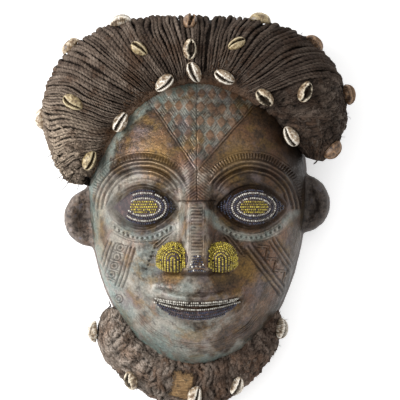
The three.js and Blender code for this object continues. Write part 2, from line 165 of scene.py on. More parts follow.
class Recipe:
    """One node material, built step by step round its main shader."""

    NOISE_ROUGHNESS = 0.62

    def __init__(self, name: str, fixed: dict[str, float]) -> None:
        """Starts the material.

        Args:
            name: Name of the material.
            fixed: Shader values that are the same all over.
        """
        self.material = bpy.data.materials.new(name)
        self.material.use_nodes = True
        self.tree = self.material.node_tree
        self.shader = self.tree.nodes["Principled BSDF"]
        for socket, value in fixed.items():
            self.shader.inputs[socket].default_value = value

    def node(self, kind: str, inputs: dict, **settings: object) -> bpy.types.Node:
        """Adds a node.

        Args:
            kind: The node's kind, without its prefix.
            inputs: Socket names or numbers, with the socket or value that each one takes.
            **settings: The node's own settings.

        Returns:
            The new node.
        """
        made = self.tree.nodes.new("ShaderNode" + kind)
        for name, value in settings.items():
            setattr(made, name, value)
        for key, value in inputs.items():
            if isinstance(value, Socket):
                self.tree.links.new(value, made.inputs[key])
            else:
                made.inputs[key].default_value = value
        return made

    def place(self, stretch: Stretch = (1, 1, 1)) -> Socket:
        """Places on the piece, drawn out along an axis where the stretch there is under 1."""
        coords = self.node("TexCoord", {}).outputs["Object"]
        return self.node("Mapping", {"Vector": coords, "Scale": stretch}).outputs["Vector"]

    def across(self, axis: str, start: float, stop: float) -> Socket:
        """A smooth change from 0 at a place along an axis to 1 at another, in millimetres."""
        coords = self.node("TexCoord", {}).outputs["Object"]
        value = self.node("SeparateXYZ", {"Vector": coords}).outputs[axis]
        return self.level(value, start * MM, stop * MM)

    def noise(self, size: float, detail: float, stretch: Stretch = (1, 1, 1)) -> Socket:
        """Noise with lumps of a size in millimetres."""
        inputs = {"Vector": self.place(stretch), "Scale": 1 / (size * MM), "Detail": detail}
        return self.node("TexNoise", {**inputs, "Roughness": self.NOISE_ROUGHNESS}).outputs["Fac"]

    def attribute(self, name: str) -> Socket:
        """A value that the mesh carries at its corners."""
        return self.node("Attribute", {}, attribute_name=name).outputs["Fac"]

    def level(self, value: Socket, start: float, stop: float, low: float = 0, high: float = 1) -> Socket:
        """A smooth change from low to high as a value goes from start to stop."""
        inputs = {"Value": value, "From Min": start, "From Max": stop, "To Min": low, "To Max": high}
        return self.node("MapRange", inputs, interpolation_type="SMOOTHSTEP").outputs["Result"]

    def uneven(self, by: Socket, low: float, high: float) -> Socket:
        """A value that goes from low to high over the usual range of a noise."""
        return self.level(by, 0.3, 0.7, low, high)

    def calc(self, operation: str, first: Socket | float, second: Socket | float) -> Socket:
        """Two values put together, kept from 0 to 1."""
        return self.node("Math", {0: first, 1: second}, operation=operation, use_clamp=True).outputs[0]

    def part(self, value: Socket, share: Socket | float) -> Socket:
        """A share of a value."""
        return self.calc("MULTIPLY", value, share)

    def total(self, *parts: tuple[Socket, float]) -> Socket:
        """Shares of values added up."""
        first, *others = [self.part(value, share) for value, share in parts]
        for other in others:
            first = self.calc("ADD", first, other)
        return first

    def blend(self, share: Socket | float, first: Socket, second: Socket | str) -> Socket:
        """A mix of two colours, by the share of the second, which may be a colour code."""
        other = colour(second) if isinstance(second, str) else second
        return self.node("Mix", {0: share, 6: first, 7: other}, data_type="RGBA").outputs[2]

    def patches(
        self,
        base: Socket,
        other: Socket | str,
        size: float,
        detail: float,
        levels: Span,
        most: float,
        stretch: Stretch = (1, 1, 1),
    ) -> Socket:
        """A colour with patches of another.

        Args:
            base: The colour.
            other: The colour of the patches.
            size: Size of the patches in millimetres.
            detail: How ragged they are.
            levels: The noise at their edge and inside them.
            most: The share of their colour inside them.
            stretch: Under 1 where they are drawn out along an axis.

        Returns:
            The mixed colour.
        """
        return self.blend(self.level(self.noise(size, detail, stretch), *levels, 0, most), base, other)

    def ramp(self, value: Socket, *stops: tuple[float, str]) -> Socket:
        """A row of colours that a value runs through.

        Args:
            value: The value, from 0 to 1.
            *stops: Two or more values, each with its colour code.

        Returns:
            The colour.
        """
        made = self.node("ValToRGB", {"Fac": value})
        points = made.color_ramp.elements
        while len(points) < len(stops):
            points.new(0.5)
        for point, (position, code) in zip(points, stops):
            point.position = position
            point.color = colour(code)
        return made.outputs["Color"]

    def bump(self, height: Socket, depth: float, under: Socket | None = None) -> Socket:
        """A fine relief of a depth in millimetres, on top of another one."""
        inputs = {"Height": height, "Distance": depth * MM, "Strength": 1.0}
        if under is not None:
            inputs["Normal"] = under
        return self.node("Bump", inputs).outputs["Normal"]

    def dress(self, **links: Socket) -> Material:
        """Links the shader's sockets, named with _ for a space, and returns the material."""
        for name, value in links.items():
            socket = name.replace("_", " ").title().replace("Ior", "IOR")
            self.tree.links.new(value, self.shader.inputs[socket])
        return self.material


@dataclass(frozen=True)
class Finish:
    """A surface finish. Its material is made once and shared."""

    name: str
    SPECULAR = 0.5
    GLOW = 0.0

    def material(self) -> Material:
        """The finish's material, made on its first use."""
        fixed = {"Specular IOR Level": self.SPECULAR, "Emission Strength": self.GLOW}
        return bpy.data.materials.get(self.name) or self.mix(Recipe(self.name, fixed))

    def mix(self, recipe: Recipe) -> Material:
        """Makes the material."""
        raise NotImplementedError


@dataclass(frozen=True)
class CopperPatina(Finish):
    """Brown copper alloy with a grey bloom, rust, ochre stains, verdigris and dirt, with dirt and painted
    shade in its grooves, painted shade on its right side, and a rubbed colour with a painted highlight on its
    raised parts.
    """

    name: str = "copper_patina"
    # The colour of the dirt patches, also used for painted shade on the right side.
    dirt_and_shade: str = "2a211b"

    def mix(self, recipe: Recipe) -> Material:
        """Makes the material."""
        broad = recipe.noise(60, 4)
        cloud = recipe.noise(24, 8)
        spots = recipe.noise(7, 8, (1, 0.8, 0.9))
        fine = recipe.noise(2.2, 8)
        mixed = recipe.total((cloud, 0.6), (fine, 0.4))
        ridge, copper, verdigris, ochre, groove = (
            recipe.attribute(name) for name in ("ridge", "copper", "verdigris", "ochre", "groove")
        )
        brown = recipe.ramp(mixed, (0.38, "241b15"), (0.47, "433426"), (0.55, "5e4631"), (0.64, "7a573a"))
        grey = recipe.ramp(mixed, (0.38, "66635b"), (0.50, "8b867b"), (0.62, "aba69c"))
        blue = recipe.ramp(fine, (0.3, "566867"), (0.7, "869996"))
        rust = recipe.ramp(fine, (0.32, "4d3628"), (0.68, "7d5840"))
        mauve = recipe.ramp(fine, (0.3, "4e4546"), (0.7, "776a6c"))
        golden = recipe.ramp(fine, (0.3, "4f3d1e"), (0.7, "8b6b34"))
        green = recipe.ramp(fine, (0.32, "4b5a55"), (0.68, "7f918a"))
        rubbed = recipe.ramp(fine, (0.3, "4a3325"), (0.7, "855a3b"))
        # A paler rubbed colour for the raised parts: wear, and a painted highlight.
        wear_and_sheen = recipe.ramp(mixed, (0.42, "74604f"), (0.58, "a09280"))
        lowness = recipe.level(recipe.across("Y", 75, 5), 0, 1, 0.12, 1)
        low_left = recipe.part(recipe.across("X", 95, -75), lowness)
        share = recipe.total((cloud, 0.6), (spots, 0.2), (low_left, 0.24), (verdigris, 0.3))
        bloomed = recipe.level(recipe.calc("SUBTRACT", share, recipe.part(ochre, 0.2)), 0.46, 0.66, 0.0, 0.85)
        metal = recipe.blend(bloomed, brown, recipe.patches(grey, blue, 30, 6, (0.46, 0.62), 0.6))
        metal = recipe.patches(metal, rust, 22, 8, (0.48, 0.66), 0.7, (1, 0.7, 1))
        metal = recipe.patches(metal, mauve, 27, 7, (0.50, 0.66), 0.6, (1, 1, 0.7))
        metal = recipe.patches(metal, golden, 19, 7, (0.52, 0.66), 0.6, (0.8, 1, 1))
        for shade, marked, by, levels in (
            (golden, ochre, cloud, (0.34, 0.55, 0.3, 0.95)),
            (green, verdigris, spots, (0.38, 0.60, 0.15, 0.85)),
            (rubbed, copper, cloud, (0.36, 0.56, 0.25, 0.8)),
            (wear_and_sheen, ridge, broad, (0.35, 0.65, 0.35, 0.75)),
        ):
            metal = recipe.blend(recipe.part(marked, recipe.level(by, *levels)), metal, shade)
        metal = recipe.patches(metal, self.dirt_and_shade, 9, 9, (0.44, 0.32), 0.7, (1, 0.6, 1))
        # Painted shade: the metal darkens towards the right side.
        metal = recipe.blend(recipe.part(recipe.across("X", 58, 105), 0.4), metal, self.dirt_and_shade)
        # The groove attribute paints dirt and shade into the grooves, and shade into the eye sockets, the lip
        # gap and the right side.
        return recipe.dress(
            base_color=recipe.blend(recipe.part(groove, 0.88), metal, "1d1612"),
            roughness=recipe.uneven(spots, 0.28, 0.55),
            metallic=recipe.level(bloomed, 0.0, 0.85, 0.55, 0.2),
            specular_ior_level=recipe.level(groove, 0, 1, 0.5, 0.1),
            normal=recipe.bump(fine, 0.4, recipe.bump(spots, 0.8)),
        )


@dataclass(frozen=True)
class OldWood(Finish):
    """Dark handled wood, mottled and scarred, darker in its adze hollows, with painted shade in its ear bowls
    and on its right side.
    """

    name: str = "old_wood"
    SPECULAR = 0.4

    def mix(self, recipe: Recipe) -> Material:
        """Makes the material."""
        grain = recipe.noise(2.4, 6, (1, 0.16, 1))
        cloud = recipe.noise(6, 9)
        value = recipe.total((grain, 0.2), (cloud, 0.8))
        wood = recipe.ramp(value, (0.38, "352c27"), (0.5, "6a5d54"), (0.62, "93867a"))
        red = recipe.ramp(grain, (0.35, "45301f"), (0.7, "7d5a40"))
        wood = recipe.patches(wood, red, 14, 5, (0.5, 0.66), 0.45)
        wood = recipe.patches(wood, "241b16", 3.2, 10, (0.47, 0.40), 0.75)
        wood = recipe.patches(wood, "5f6075", 6, 5, (0.56, 0.68), 0.6)
        # Painted shade: the wood darkens towards the right side.
        wood = recipe.blend(recipe.across("X", -60, 70), wood, recipe.blend(0.6, wood, "17110f"))
        # The groove attribute darkens the adze hollows and paints shade into the ear bowls.
        wood = recipe.blend(recipe.attribute("groove"), wood, "1c1512")
        relief = recipe.bump(recipe.noise(1.1, 5), 0.35, recipe.bump(cloud, 1.2))
        return recipe.dress(base_color=wood, roughness=recipe.uneven(cloud, 0.45, 0.75), normal=relief)


@dataclass(frozen=True)
class Fibre(Finish):
    """Dusty plant fibre. Each cord has a tone, its creases and the gaps between cords carry painted shade,
    its right side is darker with painted shade, and its root is stained.
    """

    name: str = "dusty_fibre"
    dark: str = "2f2520"
    middle: str = "63554a"
    light: str = "9c8c7e"
    warm: str = "6a4c36"
    dusty: str = "d4c0aa"
    dusty_from: float = -78
    dusty_to: float = -140
    shaded: str = "2a201b"
    shade_right: float = 0.6
    SPECULAR = 0.12

    def mix(self, recipe: Recipe) -> Material:
        """Makes the material."""
        strand = recipe.noise(1.3, 7)
        value = recipe.total((strand, 0.55), (recipe.noise(11, 7), 0.45), (recipe.attribute("tone"), 0.16))
        rust = recipe.ramp(strand, (0.35, "3c2b1f"), (0.7, self.warm))
        dust = recipe.ramp(strand, (0.35, "6e6050"), (0.62, self.dusty))
        red = recipe.ramp(strand, (0.35, "553a28"), (0.65, "926a4a"))
        leftness = recipe.across("X", self.dusty_from, self.dusty_to)
        low_left = recipe.part(leftness, recipe.across("Y", 135, 70))
        patchy = recipe.level(recipe.noise(13, 6), 0.40, 0.57, 0.25, 0.95)
        fibre = recipe.ramp(value, (0.42, self.dark), (0.56, self.middle), (0.76, self.light))
        fibre = recipe.patches(fibre, rust, 24, 4, (0.50, 0.66), 0.6)
        fibre = recipe.blend(recipe.part(low_left, patchy), fibre, dust)
        fibre = recipe.blend(recipe.part(recipe.attribute("stain"), 0.8), fibre, red)
        fibre = recipe.blend(recipe.part(recipe.across("X", -95, 100), self.shade_right), fibre, self.shaded)
        # Painted shade in the creases and the gaps between the cords.
        fibre = recipe.blend(recipe.attribute("groove"), fibre, "0d0a08")
        relief = recipe.bump(strand, 0.8, recipe.bump(recipe.noise(2.6, 5), 0.8))
        return recipe.dress(base_color=fibre, roughness=recipe.uneven(strand, 0.7, 0.95), normal=relief)


@dataclass(frozen=True)
class ShellEnamel(Finish):
    """Old cowrie shell: pale lips, a browner body and grime, with dirt and painted shade in the slit and
    between the teeth.
    """

    name: str = "cowrie_enamel"
    pale: str = "f0e9dc"
    tan: str = "66503c"
    body: str = "a28f76"

    def mix(self, recipe: Recipe) -> Material:
        """Makes the material."""
        cloud = recipe.noise(3.4, 7)
        lip = recipe.attribute("lip")
        groove = recipe.attribute("groove")
        shell = recipe.ramp(cloud, (0.38, self.tan), (0.50, self.body), (0.66, self.pale))
        shell = recipe.blend(recipe.part(lip, recipe.level(cloud, 0.32, 0.44, 0.5, 1)), shell, self.pale)
        grime = recipe.level(recipe.noise(1.8, 8), 0.53, 0.63, 0, 0.85)
        shell = recipe.blend(recipe.part(grime, recipe.level(lip, 0.3, 1, 1, 0.35)), shell, "47362a")
        # The groove attribute is dirt and painted shade, darkest in the slit.
        return recipe.dress(
            base_color=recipe.blend(groove, shell, "150e0a"),
            roughness=recipe.uneven(cloud, 0.28, 0.55),
            specular_ior_level=recipe.level(groove, 0.1, 0.7, 0.5, 0.02),
            normal=recipe.bump(recipe.noise(0.9, 6), 0.15),
        )


@dataclass(frozen=True)
class GlassBead(Finish):
    """Opaque glass seed beads, each of its own tone, with patches of dust, and painted shade where they meet.
    """

    name: str = "glass_bead"
    dull: str = "101218"
    bright: str = "2c3040"
    SPECULAR = 0.6

    def mix(self, recipe: Recipe) -> Material:
        """Makes the material."""
        tone = recipe.attribute("tone")
        glass = recipe.ramp(tone, (0.0, self.dull), (1.0, self.bright))
        glass = recipe.patches(glass, "43382f", 3, 4, (0.50, 0.72), 0.45)
        # Painted shade on each bead's ends, round its hole, where it meets its neighbours.
        glass = recipe.blend(recipe.attribute("groove"), glass, "1a1411")
        relief = recipe.bump(recipe.noise(0.7, 3), 0.06)
        return recipe.dress(base_color=glass, roughness=recipe.level(tone, 0, 1, 0.4, 0.25), normal=relief)


@dataclass(frozen=True)
class Pitch(Finish):
    """Dark resin that the beads are set in."""

    name: str = "pitch"
    SPECULAR = 0.4

    def mix(self, recipe: Recipe) -> Material:
        """Makes the material."""
        cloud = recipe.noise(4, 5)
        pitch = recipe.ramp(cloud, (0.3, "1d1718"), (0.52, "3c3032"), (0.72, "6a5550"))
        relief = recipe.bump(recipe.noise(1.2, 5), 0.6)
        return recipe.dress(base_color=pitch, roughness=recipe.uneven(cloud, 0.4, 0.75), normal=relief)


@dataclass(frozen=True)
class TanMatting(Finish):
    """A bare scrap of tan matting with a fine weave across it and dirt in it."""

    name: str = "tan_weave"
    SPECULAR = 0.2

    def mix(self, recipe: Recipe) -> Material:
        """Makes the material."""
        thread = recipe.noise(1.3, 3, (0.15, 1, 0.6))
        cloud = recipe.noise(6, 6)
        value = recipe.total((thread, 0.5), (cloud, 0.5))
        tan = recipe.ramp(value, (0.38, "57452f"), (0.5, "806546"), (0.62, "a0845e"))
        tan = recipe.patches(tan, "453a30", 4, 7, (0.52, 0.64), 0.8)
        tan = recipe.blend(recipe.attribute("groove"), tan, "382b1f")
        relief = recipe.bump(thread, 0.8)
        return recipe.dress(base_color=tan, roughness=recipe.uneven(cloud, 0.75, 0.92), normal=relief)


@dataclass(frozen=True)
class PaleFloor(Finish):
    """A pale floor that glows faintly, as painted light that lightens the shadows on it."""

    name: str = "pale_floor"
    SPECULAR = 0.1
    # Painted light: the floor glows to lighten the shadows on it.
    GLOW = 0.42

    def mix(self, recipe: Recipe) -> Material:
        """Makes the material."""
        cloud = recipe.noise(400, 2)
        white = recipe.ramp(cloud, (0.0, "f4f4f4"), (1.0, "fbfbfb"))
        return recipe.dress(base_color=white, roughness=recipe.level(cloud, 0, 1, 0.85, 0.95))


def corners(bm: BMesh) -> Array:
    """The places of a mesh's corners, in rows of three."""
    return np.array([v.co for v in bm.verts])


def move_corners(bm: BMesh, places: Array) -> None:
    """Puts each corner of a mesh at its new place, in millimetres, and turns the faces outwards."""
    for corner, place in zip(bm.verts, places * MM):
        corner.co = place
    bm.normal_update()
    bmesh.ops.recalc_face_normals(bm, faces=bm.faces)


def as_mesh(name: str, bm: BMesh) -> bpy.types.Mesh:
    """Turns a finished bmesh into a mesh."""
    mesh = bpy.data.meshes.new(name)
    bm.to_mesh(mesh)
    bm.free()
    return mesh


def merged(node: Piece) -> BMesh:
    """A copy of a solid with its corners merged."""
    bm = bmesh.new()
    bm.from_mesh(node.data)
    bmesh.ops.remove_doubles(bm, verts=bm.verts, dist=MERGE)
    return bm


def plate(columns: int, rows: int) -> BMesh:
    """A plate one unit thick over the unit square."""
    bm = bmesh.new()
    bmesh.ops.create_grid(bm, x_segments=columns, y_segments=rows, size=1)
    raised = bmesh.ops.extrude_face_region(bm, geom=list(bm.faces))["geom"]
    bmesh.ops.translate(bm, verts=[g for g in raised if isinstance(g, bmesh.types.BMVert)], vec=(0, 0, 1))
    return bm


def ball(around: int, rings: int) -> tuple[BMesh, Array, Array, Array]:
    """A round ball, as the start of a long rounded piece.

    Args:
        around: Faces round it.
        rings: Faces from one pole to the other.

    Returns:
        The ball, and for each corner its height from 1 to -1, the share of the way from the first
        pole to the last, and the turn round the ball.
    """
    bm = bmesh.new()
    bmesh.ops.create_uvsphere(bm, u_segments=around, v_segments=rings, radius=1)
    unit = corners(bm)
    along = np.arccos(np.clip(unit[:, 2], -1, 1)) / np.pi
    return bm, unit[:, 2], along, np.arctan2(unit[:, 0], unit[:, 1])


def add_object(name: str, data: bpy.types.ID) -> Piece:
    """Puts an object into the scene."""
    made = bpy.data.objects.new(name, data)
    bpy.context.scene.collection.objects.link(made)
    return made


def add_piece(
    name: str, bm: BMesh, finish: Finish, slot: Slot, replaces: tuple[str, ...] = ()
) -> Piece:
    """Makes a finished piece that goes with the mask.

    Args:
        name: Name of the piece.
        bm: Its shape, in place, in metres.
        finish: Its finish.
        slot: Its material slot; not used.
        replaces: The solids that it stands for.

    Returns:
        The piece.
    """
    mesh = as_mesh(name, bm)
    mesh.shade_smooth()
    mesh.materials.append(finish.material())
    piece = add_object(name, mesh)
    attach(piece, BODY)
    if replaces:
        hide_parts(*replaces)
    LOG.info("%s: %d triangles", name, sum(len(f.vertices) - 2 for f in mesh.polygons))
    return piece


def mark(piece: Piece, **values: Array) -> None:
    """Stores values at a piece's corners for its material to read."""
    for name, value in values.items():
        layer = piece.data.attributes.new(name, "FLOAT", "POINT")
        layer.data.foreach_set("value", np.asarray(value, np.float32))


def side_name(side: int) -> str:
    """The name of a side: -1 is left and 1 is right."""
    return "left" if side < 0 else "right"


def square_to_disc(x: Array, y: Array) -> tuple[Array, Array]:
    """Turns the square rings of the unit square into the round rings of a disc.

    Args:
        x: Places across the square, from -1 to 1.
        y: Places up the square, from -1 to 1.

    Returns:
        The share of the way out, and the angle from +Y towards +X.
    """
    share = np.maximum(np.abs(x), np.abs(y))
    safe_x, safe_y = np.where(x == 0, 1, x), np.where(y == 0, 1, y)
    upright = np.where(y > 0, 0, np.pi) + np.pi / 4 * x / safe_y
    sideways = np.where(x > 0, 1, -1) * np.pi / 2 - np.pi / 4 * y / safe_x
    return share, np.where(np.abs(y) >= np.abs(x), upright, sideways)


@dataclass(frozen=True)
class Eye:
    """An almond bulge in a shallow socket, with a raised lid round it."""

    x: float
    y: float
    half_width: float = 32
    half_height: float = 20
    bulge: float = 14
    socket: float = 7
    socket_reach: float = 1.7
    lid: float = 1.6
    lid_width: float = 2.6

    def relief(self, side: Array, y: Array) -> Array:
        """Height above the plain dome."""
        u = (side - self.x) / self.half_width
        v = (y - self.y) / self.half_height
        socket = -self.socket * hump(np.hypot(u, v) / self.socket_reach)
        edge = 1 - u * u
        inside = edge > np.abs(v)
        safe = np.where(inside, edge, 1)
        dome = self.bulge * np.clip(safe * (1 - (v / safe) ** 2), 0, None) ** 0.7
        return socket + np.where(inside, dome, 0)

    def outside(self, side: Array, y: Array) -> Array:
        """Distance outwards from the edge of the almond."""
        u = (side - self.x) / self.half_width
        steepness = np.hypot(1, 2 * u * self.half_height / self.half_width)
        return (np.abs(y - self.y) - (1 - u * u) * self.half_height) / steepness

    def detail(self, side: Array, y: Array) -> Array:
        """Fine relief: the raised lid round the almond and the crease outside it."""
        away = self.outside(side, y)
        near = ease(self.half_width * 1.16, self.half_width * 1.02, np.abs(side - self.x))
        lid = self.lid * hump((away - self.lid_width) / self.lid_width)
        crease = -0.8 * hump((away - 2.6 * self.lid_width) / 1.6)
        return (lid + crease) * near


@dataclass(frozen=True)
class Brow:
    """A ridge on an arc over each eye."""

    x: float
    y: float
    radius: float = 47
    height: float = 6
    half_width: float = 9
    inner: float = 8
    outer: float = 98

    def relief(self, side: Array, y: Array) -> Array:
        """Height above the plain dome."""
        rise = np.sqrt(np.clip(self.radius**2 - (side - self.x) ** 2, 0, None))
        ends = ease(self.inner, self.inner + 10, side) * ease(self.outer, self.outer - 12, side)
        return self.height * hump((y - self.y - rise) / self.half_width) * ends


@dataclass(frozen=True)
class Nose:
    """A flat-topped ridge that widens and rises to its base, with a ball on each side."""

    top_y: float
    base_y: float
    root: float = 4
    tip: float = 32
    top_half: float = 6
    top_spread: float = 3
    flank: float = 11
    ball_x: float = 23
    ball_up: float = 13
    ball_radius: float = 17
    ball_height: float = 24

    @property
    def ball_y(self) -> float:
        """Height of the balls' middle up the face."""
        return self.base_y + self.ball_up

    def ridge(self, side: Array, y: Array) -> Array:
        """Height of the ridge."""
        down = np.clip((self.top_y - y) / (self.top_y - self.base_y), 0, 1)
        height = self.root + (self.tip - self.root) * down**1.15
        top_half = self.top_half + self.top_spread * down
        flank = 1 - ease(0, 1, (side - top_half) / self.flank)
        ends = ease(self.top_y + 18, self.top_y - 6, y) * ease(self.base_y - 5, self.base_y + 4, y)
        return height * flank * ends

    def ball_rise(self, far: Array) -> Array:
        """Height of a ball at a share of its radius."""
        return self.ball_height * np.clip(1 - far**2.2, 0, None) ** 0.75

    def ball(self, side: Array, y: Array) -> Array:
        """Height of the balls."""
        far = np.hypot(side - self.ball_x, y - self.ball_y) / self.ball_radius
        return self.ball_rise(far) * ease(self.base_y - 5, self.base_y + 3, y)

    def relief(self, side: Array, y: Array) -> Array:
        """Height above the plain dome."""
        return np.maximum(self.ridge(side, y), self.ball(side, y))


@dataclass(frozen=True)
class Mouth:
    """Two full lips, lightly parted, on a rounded muzzle."""

    y: float
    half_width: float = 45
    curve: float = 8
    lip: float = 8
    lip_height: float = 8
    gap: float = 3
    muzzle_width: float = 66
    muzzle_half: float = 42
    muzzle_height: float = 8

    def line(self, x: Array) -> Array:
        """The parting of the lips."""
        return self.y + self.curve * (x / self.half_width) ** 2

    def relief(self, x: Array, y: Array) -> Array:
        """Height above the plain dome."""
        along = np.clip(1 - (x / self.half_width) ** 2, 0, None)
        off = y - self.line(x)
        lips = hump((off - self.lip) / self.lip) + hump((off + self.lip) / self.lip)
        muzzle = mound(x, y, (0, self.y + 3), (self.muzzle_width, self.muzzle_half), self.muzzle_height)
        parting = self.gap * along * hump(off / 4)
        return self.lip_height * np.sqrt(along) * lips + muzzle - parting

    def detail(self, x: Array, y: Array) -> Array:
        """Fine relief: the edge of the lips."""
        along = np.clip(1 - (x / (self.half_width + 4)) ** 2, 0, None)
        off = np.abs(y - self.line(x)) - 2 * self.lip * np.sqrt(along)
        return 0.9 * hump((off - 1.2) / 1.6) * ease(0, 0.25, along)


@dataclass(frozen=True)
class FaceForm:
    """The egg-shaped dome of the head with the face on it, as heights over its plan."""

    half_width: float = 110
    half_height: float = 161
    centre_y: float = -1
    narrowing: float = 0.12
    fullness: float = 2.2
    rise: float = 115
    plan_power: float = 2.6
    rise_power: float = 1.8
    wall: float = 13
    reach: float = 0.955
    hairline_y: float = 127.5
    front: float = 1.9

    @property
    def chin_y(self) -> float:
        """The lower end of the sheet."""
        return self.centre_y - self.half_height * self.reach

    @property
    def third(self) -> float:
        """A third of the way from the hairline to the chin."""
        return (self.hairline_y - self.chin_y) / 3

    @property
    def eye(self) -> Eye:
        """The eyes: halfway up the head, each in the middle of its half of the face."""
        top = self.centre_y + self.half_height
        return Eye(self.half_width * self.reach / 2, (top + self.chin_y) / 2)

    @property
    def brow(self) -> Brow:
        """The brows, a third of the way down."""
        return Brow(self.eye.x, self.hairline_y - self.third - 33)

    @property
    def nose(self) -> Nose:
        """The nose, which ends two thirds of the way down."""
        brow_y = self.hairline_y - self.third
        return Nose(brow_y + 4, brow_y - self.third)

    @property
    def mouth(self) -> Mouth:
        """The mouth, a third of the way from nose to chin."""
        return Mouth(self.nose.base_y - self.third / 3 - 3)

    def share(self, x: Array, y: Array) -> Array:
        """How far out a place is, as a share of the way from the middle to the outline."""
        up = (y - self.centre_y) / self.half_height
        across = x / (self.half_width * (1 + self.narrowing * up))
        return (np.abs(across) ** self.fullness + np.abs(up) ** self.fullness) ** (1 / self.fullness)

    def plan(self, share: Array, angle: Array) -> tuple[Array, Array]:
        """The place at a share of the way out and an angle from +Y towards +X."""
        up = share * signed_power(np.cos(angle), 2 / self.fullness)
        across = share * signed_power(np.sin(angle), 2 / self.fullness)
        return self.half_width * (1 + self.narrowing * up) * across, self.centre_y + self.half_height * up

    def dome(self, share: Array, rise: float | None = None) -> Array:
        """Height of the plain dome."""
        height = self.rise if rise is None else rise
        return height * (1 - np.minimum(share, 1) ** self.plan_power) ** (1 / self.rise_power)

    def dome_normal(self, x: Array, y: Array) -> Array:
        """The way out of the plain dome."""
        step, near_edge, share_step = 0.5, 0.992, 0.004
        share = np.minimum(self.share(x, y), near_edge)
        fall = (self.dome(share) - self.dome(share + share_step)) / share_step
        slope_x = (self.share(x + step, y) - self.share(x - step, y)) / (2 * step)
        slope_y = (self.share(x, y + step) - self.share(x, y - step)) / (2 * step)
        return unit_rows(np.column_stack([fall * slope_x, fall * slope_y, np.ones_like(x)]))

    def relief(self, x: Array, y: Array) -> Array:
        """How far the carved face stands above the plain dome."""
        side = np.abs(x)
        cheek = mound(side, y, (62, -48), (36, 44), 5)
        chin = mound(x, y, (0, self.chin_y + self.third / 4), (42, 30), 9)
        features = self.nose.relief(side, y) + self.brow.relief(side, y) + self.eye.relief(side, y)
        return cheek + chin + features + self.mouth.relief(x, y)

    def height(self, x: Array, y: Array) -> Array:
        """Height of the carved face."""
        return self.dome(self.share(x, y)) + self.relief(x, y)

    def surface(self, x: Array, y: Array, lift: Array | float) -> Array:
        """Places on the carved face, lifted off it along the way out of the plain dome."""
        places = np.column_stack([x, y, self.height(x, y)])
        return places + self.dome_normal(x, y) * np.reshape(lift, (-1, 1))

    def normal(self, x: Array, y: Array) -> Array:
        """The way out of the carved face."""
        step = 0.4
        slope_x = (self.height(x + step, y) - self.height(x - step, y)) / (2 * step)
        slope_y = (self.height(x, y + step) - self.height(x, y - step)) / (2 * step)
        return unit_rows(np.column_stack([-slope_x, -slope_y, np.ones_like(x)]))


class Pattern(Enum):
    """The embossed patterns of a band."""

    DOUBLE_LINE = "double line"
    ZIGZAG_DOTS = "zigzag with raised dots"
    RINGED_DOTS = "ringed dots between bars"
    PUNCHED_DOTS = "punched dots"
    LADDER = "ladder"


def line(away: Array, half_width: float = 1.2, height: float = 1.1) -> Array:
    """A raised line with a shallow groove on both sides."""
    return height * hump(away / half_width) - 0.65 * height * hump(away / (2.3 * half_width))


@dataclass(frozen=True)
class Band:
    """A straight strip of embossing between two places in plan."""

    pattern: Pattern
    start: Span
    stop: Span
    half_width: float
    pitch: float = 9
    weight: float = 1.0

    def local(self, x: Array, y: Array) -> tuple[Array, Array, float]:
        """Distance along the band, distance across it, and its length."""
        run = np.subtract(self.stop, self.start)
        length = float(np.hypot(*run))
        ahead = run / length
        dx, dy = x - self.start[0], y - self.start[1]
        return dx * ahead[0] + dy * ahead[1], dx * ahead[1] - dy * ahead[0], length

    def emboss(self, x: Array, y: Array) -> Array:
        """Height of the embossing."""
        along, across, length = self.local(x, y)
        inside = ease(-1, 1, along) * ease(length + 1, length - 1, along)
        cell = np.mod(along, self.pitch) - self.pitch / 2
        if self.pattern is Pattern.DOUBLE_LINE:
            marks = line(np.abs(across) - self.half_width, 1.2 * self.weight, 1.1 * self.weight)
        elif self.pattern is Pattern.ZIGZAG_DOTS:
            turn = np.mod(np.floor(along / self.pitch), 2) * 2 - 1
            slant = turn * cell / (self.pitch / 2) * self.half_width
            marks = line((across - slant) * 0.75, 1.1, self.weight)
            marks = marks + 1.5 * hump(np.hypot(cell, across + turn * 0.3 * self.half_width) / 1.7)
        elif self.pattern is Pattern.RINGED_DOTS:
            far = np.hypot(cell, across)
            bars = line(np.abs(cell) - self.pitch / 2, 1.0, 0.8) * (np.abs(across) < self.half_width)
            marks = self.weight * (line(far - 2.4, 1.0, 1.0) - 0.9 * hump(far / 1.4) + bars)
        elif self.pattern is Pattern.PUNCHED_DOTS:
            marks = -1.3 * hump(np.hypot(cell, across) / 1.6)
        else:
            bars = ease(self.half_width, self.half_width - 1, np.abs(across))
            marks = 0.5 * self.weight * np.cos(2 * np.pi * along / self.pitch) * bars
            marks = marks + line(np.abs(across) - self.half_width - 0.8, 0.9, 0.7)
        reach = self.half_width + 3.5
        return marks * inside * (np.abs(across) < reach)


@dataclass(frozen=True)
class ArcBand(Band):
    """A strip of embossing on an arc: start is the arc's centre and stop its first and last angle."""

    radius: float = 50

    def local(self, x: Array, y: Array) -> tuple[Array, Array, float]:
        """Distance along the band, distance across it, and its length."""
        dx, dy = x - self.start[0], y - self.start[1]
        first, last = (math.radians(a) for a in self.stop)
        angle = np.arctan2(dx, dy)
        return (angle - first) * self.radius, np.hypot(dx, dy) - self.radius, (last - first) * self.radius


